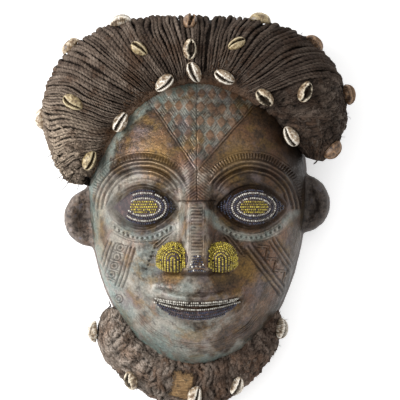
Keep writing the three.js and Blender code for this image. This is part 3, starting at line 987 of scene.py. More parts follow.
@dataclass(frozen=True)
class ForeheadPanel:
    """A wedge on the forehead, with a lattice of plain and hatched diamonds inside raised lines."""

    apex_y: float = 39.5
    top_y: float = 126
    left_slope: float = 0.69
    right_slope: float = 0.88
    pitch: float = 8.3
    hatch: float = 2.1

    def distances(self, x: Array, y: Array) -> tuple[Array, Array]:
        """Distances inwards from the wedge's left and right edges."""
        rise = y - self.apex_y
        left = (rise * self.left_slope + x) / math.hypot(1, self.left_slope)
        right = (rise * self.right_slope - x) / math.hypot(1, self.right_slope)
        return left, right

    def lattice(self, x: Array, y: Array) -> tuple[Array, Array]:
        """How far inside its diamond a place is, and whether the diamond is hatched."""
        left, right = self.distances(x, y)
        cells = [np.mod(d, self.pitch) / self.pitch * 2 - 1 for d in (left, right)]
        pillow = np.clip((1 - cells[0] ** 4) * (1 - cells[1] ** 4), 0, 1)
        return pillow, np.mod(np.floor(left / self.pitch) + np.floor(right / self.pitch), 2) == 1

    def inside(self, x: Array, y: Array) -> Array:
        """Where the lattice is."""
        return ease(0, 1.2, np.minimum(*self.distances(x, y))) * ease(self.top_y, self.top_y - 5, y)

    def plain(self, x: Array, y: Array) -> Array:
        """Where the plain diamonds are."""
        pillow, hatched = self.lattice(x, y)
        return np.where(hatched, 0, ease(0.1, 0.9, pillow)) * self.inside(x, y)

    def emboss(self, x: Array, y: Array) -> Array:
        """Height of the embossing."""
        left, right = self.distances(x, y)
        pillow, hatched = self.lattice(x, y)
        along = np.where(x < 0, left, right)
        hatching = 0.36 * np.cos(2 * np.pi * along / self.hatch) * ease(0.1, 0.45, pillow)
        field = np.where(hatched, hatching, 0.6 * pillow) - 0.3 * (1 - ease(0.0, 0.3, pillow))
        rim = line(np.minimum(left, right) + 0.4, 1.2, 1.3) * ease(self.top_y + 4, self.top_y, y)
        return field * self.inside(x, y) + rim


@dataclass(frozen=True)
class BrowFan:
    """Chevrons between the brows, on both sides of the point of the forehead panel."""

    top_y: float = 52
    base_y: float = 10
    pitch: float = 3.1
    slope: float = 0.8
    half_width: float = 13

    def emboss(self, x: Array, y: Array, edge: Array) -> Array:
        """Height of the embossing, from the distance inwards from the panel's edge."""
        down = self.top_y - y - np.abs(x) * self.slope
        beside = ease(self.half_width, self.half_width - 2, np.abs(x)) * ease(-1.4, -2.6, edge)
        ends = ease(self.top_y, self.top_y - 4, y) * ease(self.base_y, self.base_y + 2, y)
        return 0.42 * np.cos(2 * np.pi * down / self.pitch) * beside * ends


@dataclass(frozen=True)
class Seams:
    """The joints of the sheet: one down the forehead and one across the root of the nose."""

    top_y: float = 128
    cross_y: float = 8.5
    cross_half: float = 17
    half_width: float = 0.85
    depth: float = 1.0

    def cut(self, x: Array, y: Array) -> Array:
        """Depth of the joints."""
        down = hump((x - 0.9 * rough(plan_points(0 * x, y), 8, 31)) / self.half_width)
        down = down * ease(self.cross_y, self.cross_y + 2, y) * ease(self.top_y, self.top_y - 3, y)
        across = hump((y - self.cross_y - 0.7 * rough(plan_points(x, 0 * y), 8, 32)) / self.half_width)
        across = across * ease(self.cross_half + 2, self.cross_half, np.abs(x))
        return self.depth * np.maximum(down, across)


@dataclass(frozen=True)
class Embossing:
    """All the ornament of the sheet. None of it is a picture or a letter."""

    form: FaceForm
    wobble: float = 0.6
    wobble_size: float = 13

    def bands(self) -> list[Band]:
        """The strips of ornament on the brows, the nose, the cheeks and the chin."""
        brow, nose = self.form.brow, self.form.nose
        found = [
            Band(Pattern.LADDER, (0, 3), (0, nose.base_y + 14), 5.6, 3.1, 1.2),
            Band(Pattern.DOUBLE_LINE, (-83, -31), (-95, -66), 1.9, weight=1.5),
            Band(Pattern.DOUBLE_LINE, (-63, -36), (-76, -76), 1.9, weight=1.6),
            Band(Pattern.RINGED_DOTS, (-73, -33), (-85.5, -70), 5.6, 9.4, 1.5),
            Band(Pattern.PUNCHED_DOTS, (-38, -31), (-50, -60), 1.5, 4.6),
            Band(Pattern.DOUBLE_LINE, (-29, -25), (-41, -36), 1.6),
            Band(Pattern.DOUBLE_LINE, (49, -35), (84, -82), 2.3, weight=1.9),
            Band(Pattern.ZIGZAG_DOTS, (61, -33), (88, -70), 4.2, 7.5, 1.5),
            Band(Pattern.DOUBLE_LINE, (73, -29), (95, -62), 2.0, weight=1.5),
            Band(Pattern.DOUBLE_LINE, (29, -25), (43, -44), 1.6, weight=1.5),
            Band(Pattern.RINGED_DOTS, (37, -29), (49, -46), 3.2, 6.6),
        ]
        for side, weight in ((-1, 0.8), (1, 1.5)):
            centre = (side * brow.x, brow.y)
            for pattern, inner, outer, half, step, share in (
                (Pattern.LADDER, 49, 92, 3.0, 5.4, weight),
                (Pattern.DOUBLE_LINE, 57, 90, 2.3, -2.4, 1.6),
                (Pattern.DOUBLE_LINE, 60, 84, 0.0, -9.5, 1.4),
            ):
                ends = (-inner, outer) if side > 0 else (-outer, inner)
                found.append(ArcBand(pattern, centre, ends, half, 2.8, share, radius=brow.radius + step))
        found += [
            ArcBand(Pattern.DOUBLE_LINE, (0, -62), (126, 234), 1.8, weight=0.7, radius=72),
            ArcBand(Pattern.DOUBLE_LINE, (0, -62), (-234, -126), 1.8, weight=0.7, radius=72),
        ]
        return found

    def under_eye(self, x: Array, y: Array) -> Array:
        """A raised rim with punched dots, below each eye."""
        eye = self.form.eye
        side = np.abs(x)
        away = eye.outside(side, y)
        below = ease(eye.y - 2, eye.y - 5, y) * ease(eye.half_width, eye.half_width - 5, np.abs(side - eye.x))
        along = side - eye.x + (y - eye.y) * 0.25 * np.sign(side - eye.x)
        cell = np.mod(along, 5.0) - 2.5
        rim = line(away - 7.2, 1.0, 0.9) + line(away - 13.2, 1.0, 0.9)
        return (rim - 1.5 * hump(np.hypot(cell, away - 10.2) / 1.8)) * below

    def drawn(self, x: Array, y: Array) -> tuple[Array, Array]:
        """The places as a hand draws them, a little off the true ones."""
        plan = plan_points(x, y)
        shift = [self.wobble * rough(plan, self.wobble_size, seed) for seed in (21, 22)]
        return x + shift[0], y + shift[1]

    def emboss(self, x: Array, y: Array) -> Array:
        """Height of all the ornament, drawn by hand and rubbed down in places."""
        plan = plan_points(x, y)
        quiet = ease(0.985, 0.95, self.form.share(x, y) / self.form.reach)
        kept = np.clip(0.85 + 0.55 * rough(plan, 17, 23), 0.4, 1.15)
        x, y = self.drawn(x, y)
        panel = ForeheadPanel()
        edge = np.minimum(*panel.distances(x, y))
        marks = panel.emboss(x, y) + BrowFan().emboss(x, y, edge) + self.under_eye(x, y)
        for band in self.bands():
            marks = marks + band.emboss(x, y)
        ring = np.hypot(x + 76, y + 88)
        return marks * quiet * kept + line(ring - 3.0, 1.1, 1.1) - Seams().cut(x, y)


@dataclass
class FaceSheet:
    """The embossed copper alloy sheet over the front of the head."""

    form: FaceForm
    columns: int = 176
    rows: int = 236
    back_columns: int = 40
    back_rows: int = 54
    fine_mark: float = 0.05
    sink: float = 1.6

    def plan(self, places: Array) -> tuple[Array, Array]:
        """Turns places on the unit square into places in plan."""
        share, angle = square_to_disc(places[:, 0], places[:, 1])
        return self.form.plan(share * self.form.reach, angle)

    def refine(self, bm: BMesh, ornament: Embossing) -> None:
        """Halves the faces that the ornament crosses."""
        bm.verts.ensure_lookup_table()
        marked = np.abs(ornament.emboss(*self.plan(corners(bm)))) > self.fine_mark
        crossed = [f for f in bm.faces if any(marked[v.index] for v in f.verts)]
        edges = list({e for f in crossed for e in f.edges})
        bmesh.ops.subdivide_edges(bm, edges=edges, cuts=1, use_grid_fill=True)

    def grid(self, ornament: Embossing) -> BMesh:
        """A fine front and a coarse back, joined at their rim, on the unit square."""
        bm = bmesh.new()
        bmesh.ops.create_grid(bm, x_segments=self.columns, y_segments=self.rows, size=1)
        self.refine(bm, ornament)
        coarse = {"x_segments": self.back_columns, "y_segments": self.back_rows}
        back = bmesh.ops.create_grid(bm, size=1, **coarse)["verts"]
        bmesh.ops.translate(bm, verts=back, vec=(0, 0, -1))
        bmesh.ops.reverse_faces(bm, faces=list({f for v in back for f in v.link_faces}))
        bmesh.ops.bridge_loops(bm, edges=[e for e in bm.edges if e.is_boundary])
        return bm

    def shadow(self, x: Array, y: Array) -> Array:
        """Painted shade in the eye sockets and between the lips."""
        eye, mouth = self.form.eye, self.form.mouth
        near_eye = ease(eye.half_width * 1.2, eye.half_width, np.abs(np.abs(x) - eye.x))
        sockets = 0.75 * ease(9, 0, eye.outside(np.abs(x), y)) * near_eye
        gap = hump((y - mouth.line(x)) / 4.0) * ease(mouth.half_width, mouth.half_width - 6, np.abs(x))
        return sockets + 0.8 * gap

    def stains(self, x: Array, y: Array) -> Array:
        """Where the metal is stained with ochre."""
        side = np.abs(x)
        panel_sides = mound(side, y, (38, 50), (26, 31.2))
        right_cheek = mound(x, y, (47, -58), (20, 26), 0.95)
        under_nose = mound(side, y, (24, self.form.nose.base_y - 5), (16, 10), 0.9)
        left_edge = 0.7 * hump((x + 94) / 9) * hump((y + 30) / 60)
        return np.clip(panel_sides + right_cheek + under_nose + left_edge, 0, 1)

    def wear_and_shading(self, piece: Piece, x: Array, y: Array, marks: Array, ornament: Embossing) -> None:
        """Stores where the metal is grooved, rubbed, stained with ochre or crusted with verdigris, and where
        shade and a highlight are painted on it.
        """
        form, nose, panel = self.form, self.form.nose, ForeheadPanel()
        share = form.share(x, y) / form.reach
        rim = ease(0.90, 0.97, share + 0.02 * rough(plan_points(x, y), 9, 1))
        rim = rim * (0.85 + 0.15 * ease(0, -120, y)) * (1 - 0.75 * ease(0, 70, x))
        patch = mound(x, y, (-84, -72), (20, 20)) + mound(x, y, (-30, -128), (40, 24), 0.8)
        below_eye = ease(form.eye.y, form.eye.y - 6, y) * (0.5 + 0.5 * ease(-20, 30, x))
        patch = patch + 0.7 * hump((form.eye.outside(np.abs(x), y) - 10) / 6) * below_eye
        round_hair = np.hypot(x, y - 77) - 47 - 55 * (np.abs(np.arctan2(x, y - 77)) / math.radians(113)) ** 3
        patch = patch + 0.8 * ease(-13, -3, round_hair) * ease(25, -20, x) * ease(5, 35, y)
        # Painted shade on the right side, round the right rim and on the lower right.
        painted_right_shade = 0.6 * ease(50, 85, x) * ease(0, 25, y) + 0.4 * ease(20, 80, x) * ease(0.84, 0.96, share)
        painted_right_shade = painted_right_shade + 0.3 * ease(5, 50, x) * ease(-65, -95, y)
        drawn = ornament.drawn(x, y)
        plain = panel.plain(*drawn)
        # The embossed grooves are darkened with dirt and painted shade.
        cuts = np.clip(-marks / 0.45, 0, 1) * (0.72 - 0.25 * panel.inside(*drawn))
        rust = mound(x, y, (66, -44), (15, 19.5), 0.8)
        hatched = 0.36 * panel.inside(*drawn) * (1 - plain)
        # The raised lines, the top of the nose and the brows are paler: wear, and a painted highlight.
        raised = ease(0.5 * nose.tip, 0.9 * nose.tip, nose.ridge(np.abs(x), y))
        brows = ease(0.45, 1.0, form.brow.relief(np.abs(x), y) / form.brow.height)
        mark(
            piece,
            groove=np.clip(cuts + self.shadow(x, y) + painted_right_shade, 0, 1),
            ridge=np.clip(np.clip(marks / 0.8, 0, 1) * 0.7 + 0.5 * raised + 0.25 * brows, 0, 1),
            ochre=self.stains(x, y),
            verdigris=np.clip(rim + patch + hatched, 0, 1),
            copper=np.clip(0.75 * plain + rust, 0, 1),
        )

    def build(self) -> Piece:
        """Makes the sheet.

        Returns:
            The piece.
        """
        ornament = Embossing(self.form)
        bm = self.grid(ornament)
        square = corners(bm)
        x, y = self.plan(square)
        side = np.abs(x)
        marks = ornament.emboss(x, y)
        plan = plan_points(x, y)
        dents = 0.8 * rough(plan, 21, 2) + 0.35 * rough(plan, 7, 3) + 0.1 * rough(plan, 2.5, 27)
        detail = self.form.eye.detail(side, y) + self.form.mouth.detail(x, y)
        share = np.maximum(np.abs(square[:, 0]), np.abs(square[:, 1]))
        back = 0.3 - self.sink * (1 - share**8)
        lift = np.where(square[:, 2] < -0.5, back, self.form.front + marks + dents + detail)
        move_corners(bm, self.form.surface(x, y, lift))
        piece = add_piece("embossed_sheet", bm, CopperPatina(), Slot.SHEET, ("face_sheet",))
        self.wear_and_shading(piece, x, y, marks, ornament)
        return piece


@dataclass
class WoodenHead:
    """The carved head with its ears, hollow behind."""

    form: FaceForm
    voxel: float = 2.5
    smoothing: int = 5
    adze: float = 0.55
    sheet_gap: float = 1.2
    ear: Span = (111, -1)
    ear_shift: float = 7
    # How dark the painted shade in the ear bowls is.
    bowl_shade: float = 0.08
    bowl_half: Span = (15, 20)
    bowl_from: float = 104
    bowl_top: float = 40

    def fine_copy(self, node: Piece) -> BMesh:
        """A copy of the solid with small and even faces."""
        blank = add_object("wooden_head_blank", as_mesh("wooden_head_blank", merged(node)))
        remesh = blank.modifiers.new("even", "REMESH")
        remesh.mode = "VOXEL"
        remesh.voxel_size = self.voxel * MM
        shaped = blank.evaluated_get(bpy.context.evaluated_depsgraph_get())
        fine = bmesh.new()
        fine.from_mesh(shaped.to_mesh())
        shaped.to_mesh_clear()
        bpy.data.objects.remove(blank)
        return fine

    def build(self, node: Piece) -> Piece:
        """Makes the head.

        Args:
            node: The solid that the piece replaces.

        Returns:
            The piece.
        """
        bm = self.fine_copy(node)
        axes = {f"use_axis_{axis}": True for axis in "xyz"}
        for _ in range(self.smoothing):
            bmesh.ops.smooth_vert(bm, verts=bm.verts, factor=0.5, **axes)
        bm.normal_update()
        places = corners(bm) / MM
        normals = np.array([v.normal for v in bm.verts])
        marks = self.adze * rough(places * [1, 0.5, 1], 8, 4) + 0.25 * rough(places, 3, 5)
        places = places + normals * marks[:, None]
        x, y, z = places.T
        share = self.form.share(x, y)
        ceiling = self.form.dome(np.minimum(share * 1.1, 1), self.form.rise - self.form.wall)
        clad = (share < self.form.reach) & (z > ceiling + self.form.wall / 2)
        places[:, 2] = np.where(clad, np.minimum(z, self.form.height(x, y) - self.sheet_gap), z).clip(0)
        move_corners(bm, places)
        piece = add_piece("wooden_head", bm, OldWood(), Slot.WOOD, ("mask_body",))
        # The groove attribute: darker in the adze hollows, with painted shade in the ear bowls.
        hollows = np.clip(-marks / self.adze, 0, 1) * 0.4
        bowl = mound(np.abs(x), y - self.ear_shift * np.sign(x), self.ear, self.bowl_half, self.bowl_shade)
        bowl = bowl * (z < self.bowl_top) * (np.abs(x) > self.bowl_from)
        mark(piece, groove=np.clip(hollows + bowl, 0, 1))
        return piece


@dataclass(frozen=True)
class Roll:
    """An arch of fibre in plan: its surface by an angle along it and a turn round its section."""

    form: FaceForm
    reach: float = 110
    girth: float = 24

    def point(self, angle: Array, turn: Array) -> Array:
        """Places on the surface. The turn goes from the front outwards."""
        raise NotImplementedError

    def normal(self, angle: Array, turn: Array) -> Array:
        """The way out of the surface."""
        step = 0.01
        along = self.point(angle + step, turn) - self.point(angle - step, turn)
        round_it = self.point(angle, turn + step) - self.point(angle, turn - step)
        out = unit_rows(np.cross(along, round_it))
        far_side = self.point(angle, turn) - self.point(angle, turn + np.pi)
        return out * np.where(np.sum(out * far_side, axis=1, keepdims=True) < 0, -1, 1)

    def lifted(self, angle: Array, turn: Array, lift: Array) -> Array:
        """Places lifted off the surface."""
        return self.point(angle, turn) + self.normal(angle, turn) * lift[:, None]

    def clear_of_head(self, places: Array, room: float) -> Array:
        """Lifts what would be inside the head onto its surface, with room to spare."""
        x, y, z = places.T
        share = self.form.share(x, y)
        floor = np.where(share < 1, self.form.height(x, y) + self.form.front + room, -1e3)
        moved = places.copy()
        moved[:, 2] = np.where(z > 4, np.maximum(z, floor), z)
        return moved

    def above_head(self, places: Array) -> Array:
        """Which places are outside the head."""
        x, y, z = places.T
        share = self.form.share(x, y)
        return (share > 1.02) | (z > self.form.height(x, y) + self.form.front)


@dataclass(frozen=True)
class HairArch(Roll):
    """The hair roll, fuller at the temples."""

    reach: float = 130
    girth: float = 36
    centre_y: float = 77
    left_span: float = math.radians(113)
    right_span: float = math.radians(105)
    inner: float = 49
    inner_spread: float = 55
    outer: float = 113
    left_spread: float = 41
    right_spread: float = 38
    widest: float = math.radians(75)
    back_z: float = 4
    crest_z: float = 102
    end_drop: float = 34
    overlap: float = 2
    knob: float = 5
    knob_start: float = math.radians(97)
    knob_full: float = math.radians(109)
    left_bluntness: float = 18
    right_bluntness: float = 10
    squareness: float = 0.84

    def outer_radius(self, angle: Array) -> Array:
        """How far out the roll reaches."""
        spread = np.where(angle < 0, self.left_spread, self.right_spread)
        flare = self.knob * ease(-self.knob_start, -self.knob_full, angle)
        return self.outer + flare + spread * np.sin(np.pi / 2 * angle / self.widest) ** 2

    def point(self, angle: Array, turn: Array) -> Array:
        """Places on the surface. The turn goes from the front outwards."""
        end = np.minimum(np.abs(angle) / np.where(angle < 0, self.left_span, self.right_span), 1)
        taper = np.sqrt(1 - end ** np.where(angle < 0, self.left_bluntness, self.right_bluntness))
        inner = self.inner + self.inner_spread * end**3
        outer = self.outer_radius(angle)
        half_width = (outer - inner) / 2 + self.overlap
        radius = (outer + inner) / 2 + signed_power(np.sin(turn), self.squareness) * half_width * taper
        crest = self.crest_z - self.end_drop * end**4
        half_depth = (crest - self.back_z) / 2 * taper
        z = (crest + self.back_z) / 2 + signed_power(np.cos(turn), self.squareness) * half_depth
        return np.column_stack([radius * np.sin(angle), self.centre_y + radius * np.cos(angle), z])


@dataclass(frozen=True)
class BeardArch(Roll):
    """The beard ruff round the jaw, narrower on the right."""

    centre_y: float = -62
    span: float = math.radians(68)
    outer: float = 132
    tip: float = 2
    left_loss: float = 16
    left_fall: float = 4
    right_loss: float = 31
    right_fall: float = 1.1
    width: float = 46
    middle_z: float = 26.5
    half_depth: float = 18.5
    lean: float = 14
    squareness: float = 0.9

    def point(self, angle: Array, turn: Array) -> Array:
        """Places on the surface. The turn goes from the front outwards."""
        end = np.minimum(np.abs(angle) / self.span, 1)
        taper = np.sqrt(1 - end**6)
        left, right = self.left_loss * end**self.left_fall, self.right_loss * end**self.right_fall
        outer = self.outer - np.where(angle < 0, left, right) + self.tip * hump(angle)
        across = signed_power(np.sin(turn), self.squareness) * taper / 2
        radius = outer + self.width * (across - 0.5)
        depth = signed_power(np.cos(turn), self.squareness) * self.half_depth * taper
        z = self.middle_z - self.lean * across + depth
        return np.column_stack([radius * np.sin(angle), self.centre_y - radius * np.cos(angle), z])


@dataclass
class Cord:
    """One cord: its route and thickness in millimetres, its twist, its tone, the way out and its stain."""

    points: Array
    radii: Array
    twist: Array
    tone: float
    out: Array
    stain: Array | None = None


@dataclass(frozen=True)
class CordMaker:
    """Makes a bundle of cords from the section of a single one."""

    sides: int = 10
    lobes: int = 2
    depth: float = 0.2

    def section(self) -> Piece:
        """The section of a cord: one round lobe for each of its plies."""
        curve = bpy.data.curves.new("cord_section", "CURVE")
        curve.dimensions = "2D"
        spline = curve.splines.new("POLY")
        spline.points.add(self.sides - 1)
        for i, point in enumerate(spline.points):
            angle = 2 * math.pi * i / self.sides
            radius = (1 - self.depth * abs(math.sin(self.lobes * angle / 2)) ** 1.3) * MM
            point.co = (radius * math.cos(angle), radius * math.sin(angle), 0, 1)
        spline.use_cyclic_u = True
        return add_object("cord_section", curve)

    def turn_outwards(self, bm: BMesh, cords: list[Cord]) -> None:
        """Turns the faces of each cord outwards, also where it is bent so sharply that it crosses itself."""
        bmesh.ops.recalc_face_normals(bm, faces=bm.faces)
        bm.normal_update()
        bm.verts.index_update()
        faces = list(bm.faces)
        owner = np.repeat(np.arange(len(cords)), [len(c.points) * self.sides for c in cords])
        owner = owner[[f.verts[0].index for f in faces]]
        middles = np.array([c.points.mean(axis=0) * MM for c in cords])[owner]
        ways = np.array([f.normal * f.calc_area() for f in faces])
        outward = np.sum((np.array([f.calc_center_median() for f in faces]) - middles) * ways, axis=1)
        inside_out = np.bincount(owner, weights=outward) < 0
        bmesh.ops.reverse_faces(bm, faces=[f for f, wrong in zip(faces, inside_out[owner]) if wrong])

    def shape(self, name: str, cords: list[Cord]) -> BMesh:
        """The mesh of many cords, with their ends closed."""
        section = self.section()
        curve = bpy.data.curves.new(name, "CURVE")
        curve.dimensions = "3D"
        curve.bevel_mode = "OBJECT"
        curve.bevel_object = section
        for cord in cords:
            spline = curve.splines.new("POLY")
            spline.points.add(len(cord.points) - 1)
            flat = np.column_stack([cord.points * MM, np.ones(len(cord.points))])
            spline.points.foreach_set("co", flat.ravel())
            spline.points.foreach_set("radius", cord.radii)
            spline.points.foreach_set("tilt", cord.twist)
        bundle = add_object(name, curve)
        bpy.context.view_layer.update()
        shaped = bundle.evaluated_get(bpy.context.evaluated_depsgraph_get())
        bm = bmesh.new()
        bm.from_mesh(bpy.data.meshes.new_from_object(shaped))
        bmesh.ops.holes_fill(bm, edges=bm.edges, sides=self.sides)
        self.turn_outwards(bm, cords)
        for used in (bundle, section):
            bpy.data.objects.remove(used)
        return bm

    def build(self, name: str, cords: list[Cord], finish: Finish, replaces: tuple[str, ...] = ()) -> Piece:
        """Makes one piece of many cords, with painted shade where they lie against each other.

        Args:
            name: Name of the piece.
            cords: The cords.
            finish: Its finish.
            replaces: The solids that it stands for.

        Returns:
            The piece.
        """
        bm = self.shape(name, cords)
        centres, outs = (np.repeat(np.concatenate(rows), self.sides, axis=0) for rows in
                         ([c.points for c in cords], [c.out for c in cords]))
        radii = np.repeat(np.concatenate([c.radii for c in cords]), self.sides)
        facing = np.sum((corners(bm) / MM - centres) * outs, axis=1) / radii
        piece = add_piece(name, bm, finish, Slot.FIBRE, replaces)
        rings = sum(len(c.points) for c in cords)
        lobe = np.abs(np.sin(self.lobes * np.pi * np.arange(self.sides) / self.sides))
        tones = np.concatenate([np.full(len(c.points) * self.sides, c.tone) for c in cords])
        # Painted shade on the sides of each cord that face into the roll and its neighbours, and in the
        # creases between its plies.
        buried = ease(0.55, -0.15, facing)
        stains = [np.zeros(len(c.points)) if c.stain is None else c.stain for c in cords]
        stain = np.repeat(np.concatenate(stains), self.sides)
        mark(piece, groove=np.clip(np.tile(lobe, rings) * 0.28 + buried, 0, 0.96), tone=tones, stain=stain)
        return piece


@dataclass
class Curls:
    """Short crooked tufts of fibre that lie on a roll."""

    rng: random.Random
    length: Span = (8.0, 16.0)
    thickness: Span = (0.9, 1.6)
    steps: int = 13
    crooked: float = 5.0

    def curl(self, arch: Roll, angle: float, turn: float) -> Cord | None:
        """One tuft that starts at a place on a roll.

        Args:
            arch: The roll.
            angle: The place along the roll.
            turn: The place round its section.

        Returns:
            The tuft, or None where part of it would be inside the head.
        """
        share = np.linspace(0, 1, self.steps)
        seed = self.rng.uniform(0, 90)
        step = self.rng.uniform(*self.length) / self.steps
        heading = self.rng.uniform(0, 2 * math.pi)
        heading = heading + self.crooked * waver(share, 2.2, seed)
        along = angle + np.cumsum(step * np.cos(heading)) / arch.reach
        across = turn + np.cumsum(step * np.sin(heading)) / arch.girth
        thick = self.rng.uniform(*self.thickness)
        lift = self.rng.uniform(0.0, 0.6) * thick * np.sin(np.pi * share) - 0.45 * thick
        out = arch.normal(along, across)
        places = arch.point(along, across) + out * lift[:, None]
        if not np.all(arch.above_head(places - out * thick)):
            return None
        radii = thick * np.clip(np.sin(np.pi * np.clip(share, 0.05, 0.95)) * 2.0, 0, 1)
        return Cord(places, radii, seed + share * 6, self.rng.random(), out)

    def patch(self, arch: Roll, count: int, angles: Span, turns: Span) -> list[Cord]:
        """Tufts all over a patch of a roll.

        Args:
            arch: The roll.
            count: How many to try.
            angles: The first and the last place along the roll, in degrees.
            turns: The first and the last place round its section, in degrees.

        Returns:
            The tufts.
        """
        places = [(self.rng.uniform(*angles), self.rng.uniform(*turns)) for _ in range(count)]
        made = [self.curl(arch, math.radians(angle), math.radians(turn)) for angle, turn in places]
        return [c for c in made if c is not None]


@dataclass(frozen=True, kw_only=True)
class Felt(Roll):
    """A matted stretch of a roll, with folds, creases and lumps. Its start can sink under its neighbour."""

    arch: Roll
    first: float
    last: float
    rings: int
    around: int = 100
    fold: float = 1.9
    crease: float = 1.1
    lump: float = 1.2
    fold_draw: float = 0.5
    crease_draw: float = 0.35
    shade: float = 1.0
    raised: float = 2.6
    sunk_start: float = 0
    flat_reach: float = 110
    flat_girth: float = 22

    def unrolled(self, angle: Array, turn: Array) -> Array:
        """Places on the surface laid flat, in millimetres."""
        return plan_points(angle * self.flat_reach, turn * self.flat_girth)

    def relief(self, angle: Array, turn: Array) -> tuple[Array, Array, Array]:
        """The mass's own relief.

        Args:
            angle: Places along the roll.
            turn: Places round its section.

        Returns:
            How deep the surface lies below the roll, how dark its painted shade in the folds and creases is
            there, and how light its lumps are.
        """
        along = (angle - self.first) / (self.last - self.first)
        turn = (turn + np.pi) % (2 * np.pi) - np.pi
        arc = self.unrolled(angle, turn)
        drift = 3.0 * plan_points(rough(arc, 12, 24), rough(arc, 12, 25))
        folds = np.abs(rough((arc + drift) * [1, self.fold_draw, 1], 8, 6)) ** 0.6
        creases = np.abs(rough((arc + drift) * [self.crease_draw, 1, 1], 2.6, 26)) ** 0.6
        lumps = rough(arc * [1, 0.7, 1], 17, 7)
        depth = self.fold * (1 - folds) + self.crease * (1 - creases) + self.lump * (0.4 - lumps)
        depth = depth + 0.6 * rough(arc, 2.2, 8) - self.raised
        pole = np.clip(np.sin(np.pi * np.clip(along, 0, 1)) * 8, 0, 1)
        depth = np.clip(depth, -self.raised, None) * pole + self.sunk_start * ease(0.16, 0, along)
        shade = ease(0.50, 0.12, folds) * 0.7 + ease(0.45, 0.08, creases) * 0.75
        return depth, np.clip(shade * self.shade, 0, 0.95), np.clip(0.5 + lumps, 0, 1)

    def point(self, angle: Array, turn: Array) -> Array:
        """Places on the surface of the mass."""
        return self.arch.lifted(angle, turn, -self.relief(angle, turn)[0])

    def normal(self, angle: Array, turn: Array) -> Array:
        """The way out of the roll under the relief."""
        return self.arch.normal(angle, turn)

    def build(self, name: str, finish: Finish, replaces: tuple[str, ...] = ()) -> Piece:
        """Makes the mass.

        Args:
            name: Name of the piece.
            finish: Its finish.
            replaces: The solids that it stands for.

        Returns:
            The piece.
        """
        bm, _, along, turn = ball(self.around, self.rings)
        angle = self.first + (self.last - self.first) * along
        _, shade, tone = self.relief(angle, turn)
        move_corners(bm, self.clear_of_head(self.point(angle, turn), 0.4))
        piece = add_piece(name, bm, finish, Slot.FIBRE, replaces)
        stain = np.clip(0.9 * rough(self.unrolled(angle, turn), 13, 45), 0, 0.6)
        mark(piece, groove=shade, tone=tone, stain=stain)
        return piece


@dataclass
class HairlineFelt:
    """The reddish felt along the roots of the hair, from which the cords come out."""

    form: FaceForm
    rng: random.Random
    first: float = math.radians(-104)
    last: float = math.radians(66)
    thickness: float = 2.8
    spread: float = 0.42
    wide_spread: float = 0.5
    wide_at: float = math.radians(30)
    tufts: int = 380
    columns: int = 300
    rows: int = 22
    bedded: float = 3.0

    def root_turns(self, arch: HairArch, angles: Array) -> Array:
        """Where the roll meets the head, as turns round its section."""
        turns = np.linspace(0, math.radians(-128), 129)
        above = [arch.above_head(arch.point(np.full(len(turns), angle), turns)) for angle in angles]
        return np.array([turns[-1] if row.all() else turns[np.argmin(row)] for row in above])

    def reach(self, angle: Array) -> Array:
        """How far the felt goes out from the roots, as a turn round the roll."""
        return self.spread + self.wide_spread * hump((angle - self.wide_at) / math.radians(30))

    def band(self, arch: HairArch, angles: Array, roots: Array) -> Piece:
        """The felt itself, thickest at the roots."""
        bm = plate(self.columns, self.rows)
        unit = corners(bm)
        angle = self.first + (self.last - self.first) * (unit[:, 0] + 1) / 2
        share = (unit[:, 1] + 1) / 2
        arc = plan_points(angle * 90, share * 16)
        edge = arc * [1, 0, 0]
        reach = self.reach(angle) * (0.85 + 0.5 * rough(edge, 9, 41)) + 0.07 * rough(edge, 2.2, 42)
        turn = np.interp(angle, angles, roots) - 0.05 + share * reach
        bumps = 0.9 * rough(arc, 5, 43) + 0.7 * rough(arc, 1.8, 44)
        top = self.thickness * (1 - share**2.2) + bumps * (0.3 + share) * (1 - share**6) - 0.9 * share
        lift = np.where(unit[:, 2] > 0.5, top, -self.bedded)
        move_corners(bm, arch.lifted(angle, turn, lift))
        piece = add_piece("hairline_felt", bm, Fibre(), Slot.FIBRE)
        stain = 0.85 + 0.25 * bumps - 0.75 * share
        # Painted shade in the dips of the bumps.
        mark(piece, groove=np.clip(-bumps * 0.6, 0, 0.6), tone=np.full(len(share), 0.5), stain=stain)
        return piece

    def build(self) -> list[Piece]:
        """Makes the felt and the short tufts on it.

        Returns:
            The pieces.
        """
        arch = HairArch(self.form)
        angles = np.linspace(self.first, self.last, 180)
        roots = self.root_turns(arch, angles)
        curls = Curls(self.rng, (5, 12), (0.35, 0.8), 9, 7.0)
        tufts = []
        for _ in range(self.tufts):
            angle = self.rng.uniform(self.first, self.last)
            root = float(np.interp(angle, angles, roots))
            tuft = curls.curl(arch, angle, root + self.rng.uniform(0.06, 1.1 * float(self.reach(angle))))
            if tuft is not None:
                tuft.points = tuft.points + tuft.out * 0.8
                tuft.stain = np.full(len(tuft.points), 0.7)
                tufts.append(tuft)
        felt = self.band(arch, angles, roots)
        return [felt, CordMaker(5, 1, 0).build("hairline_tufts", tufts, Fibre())]


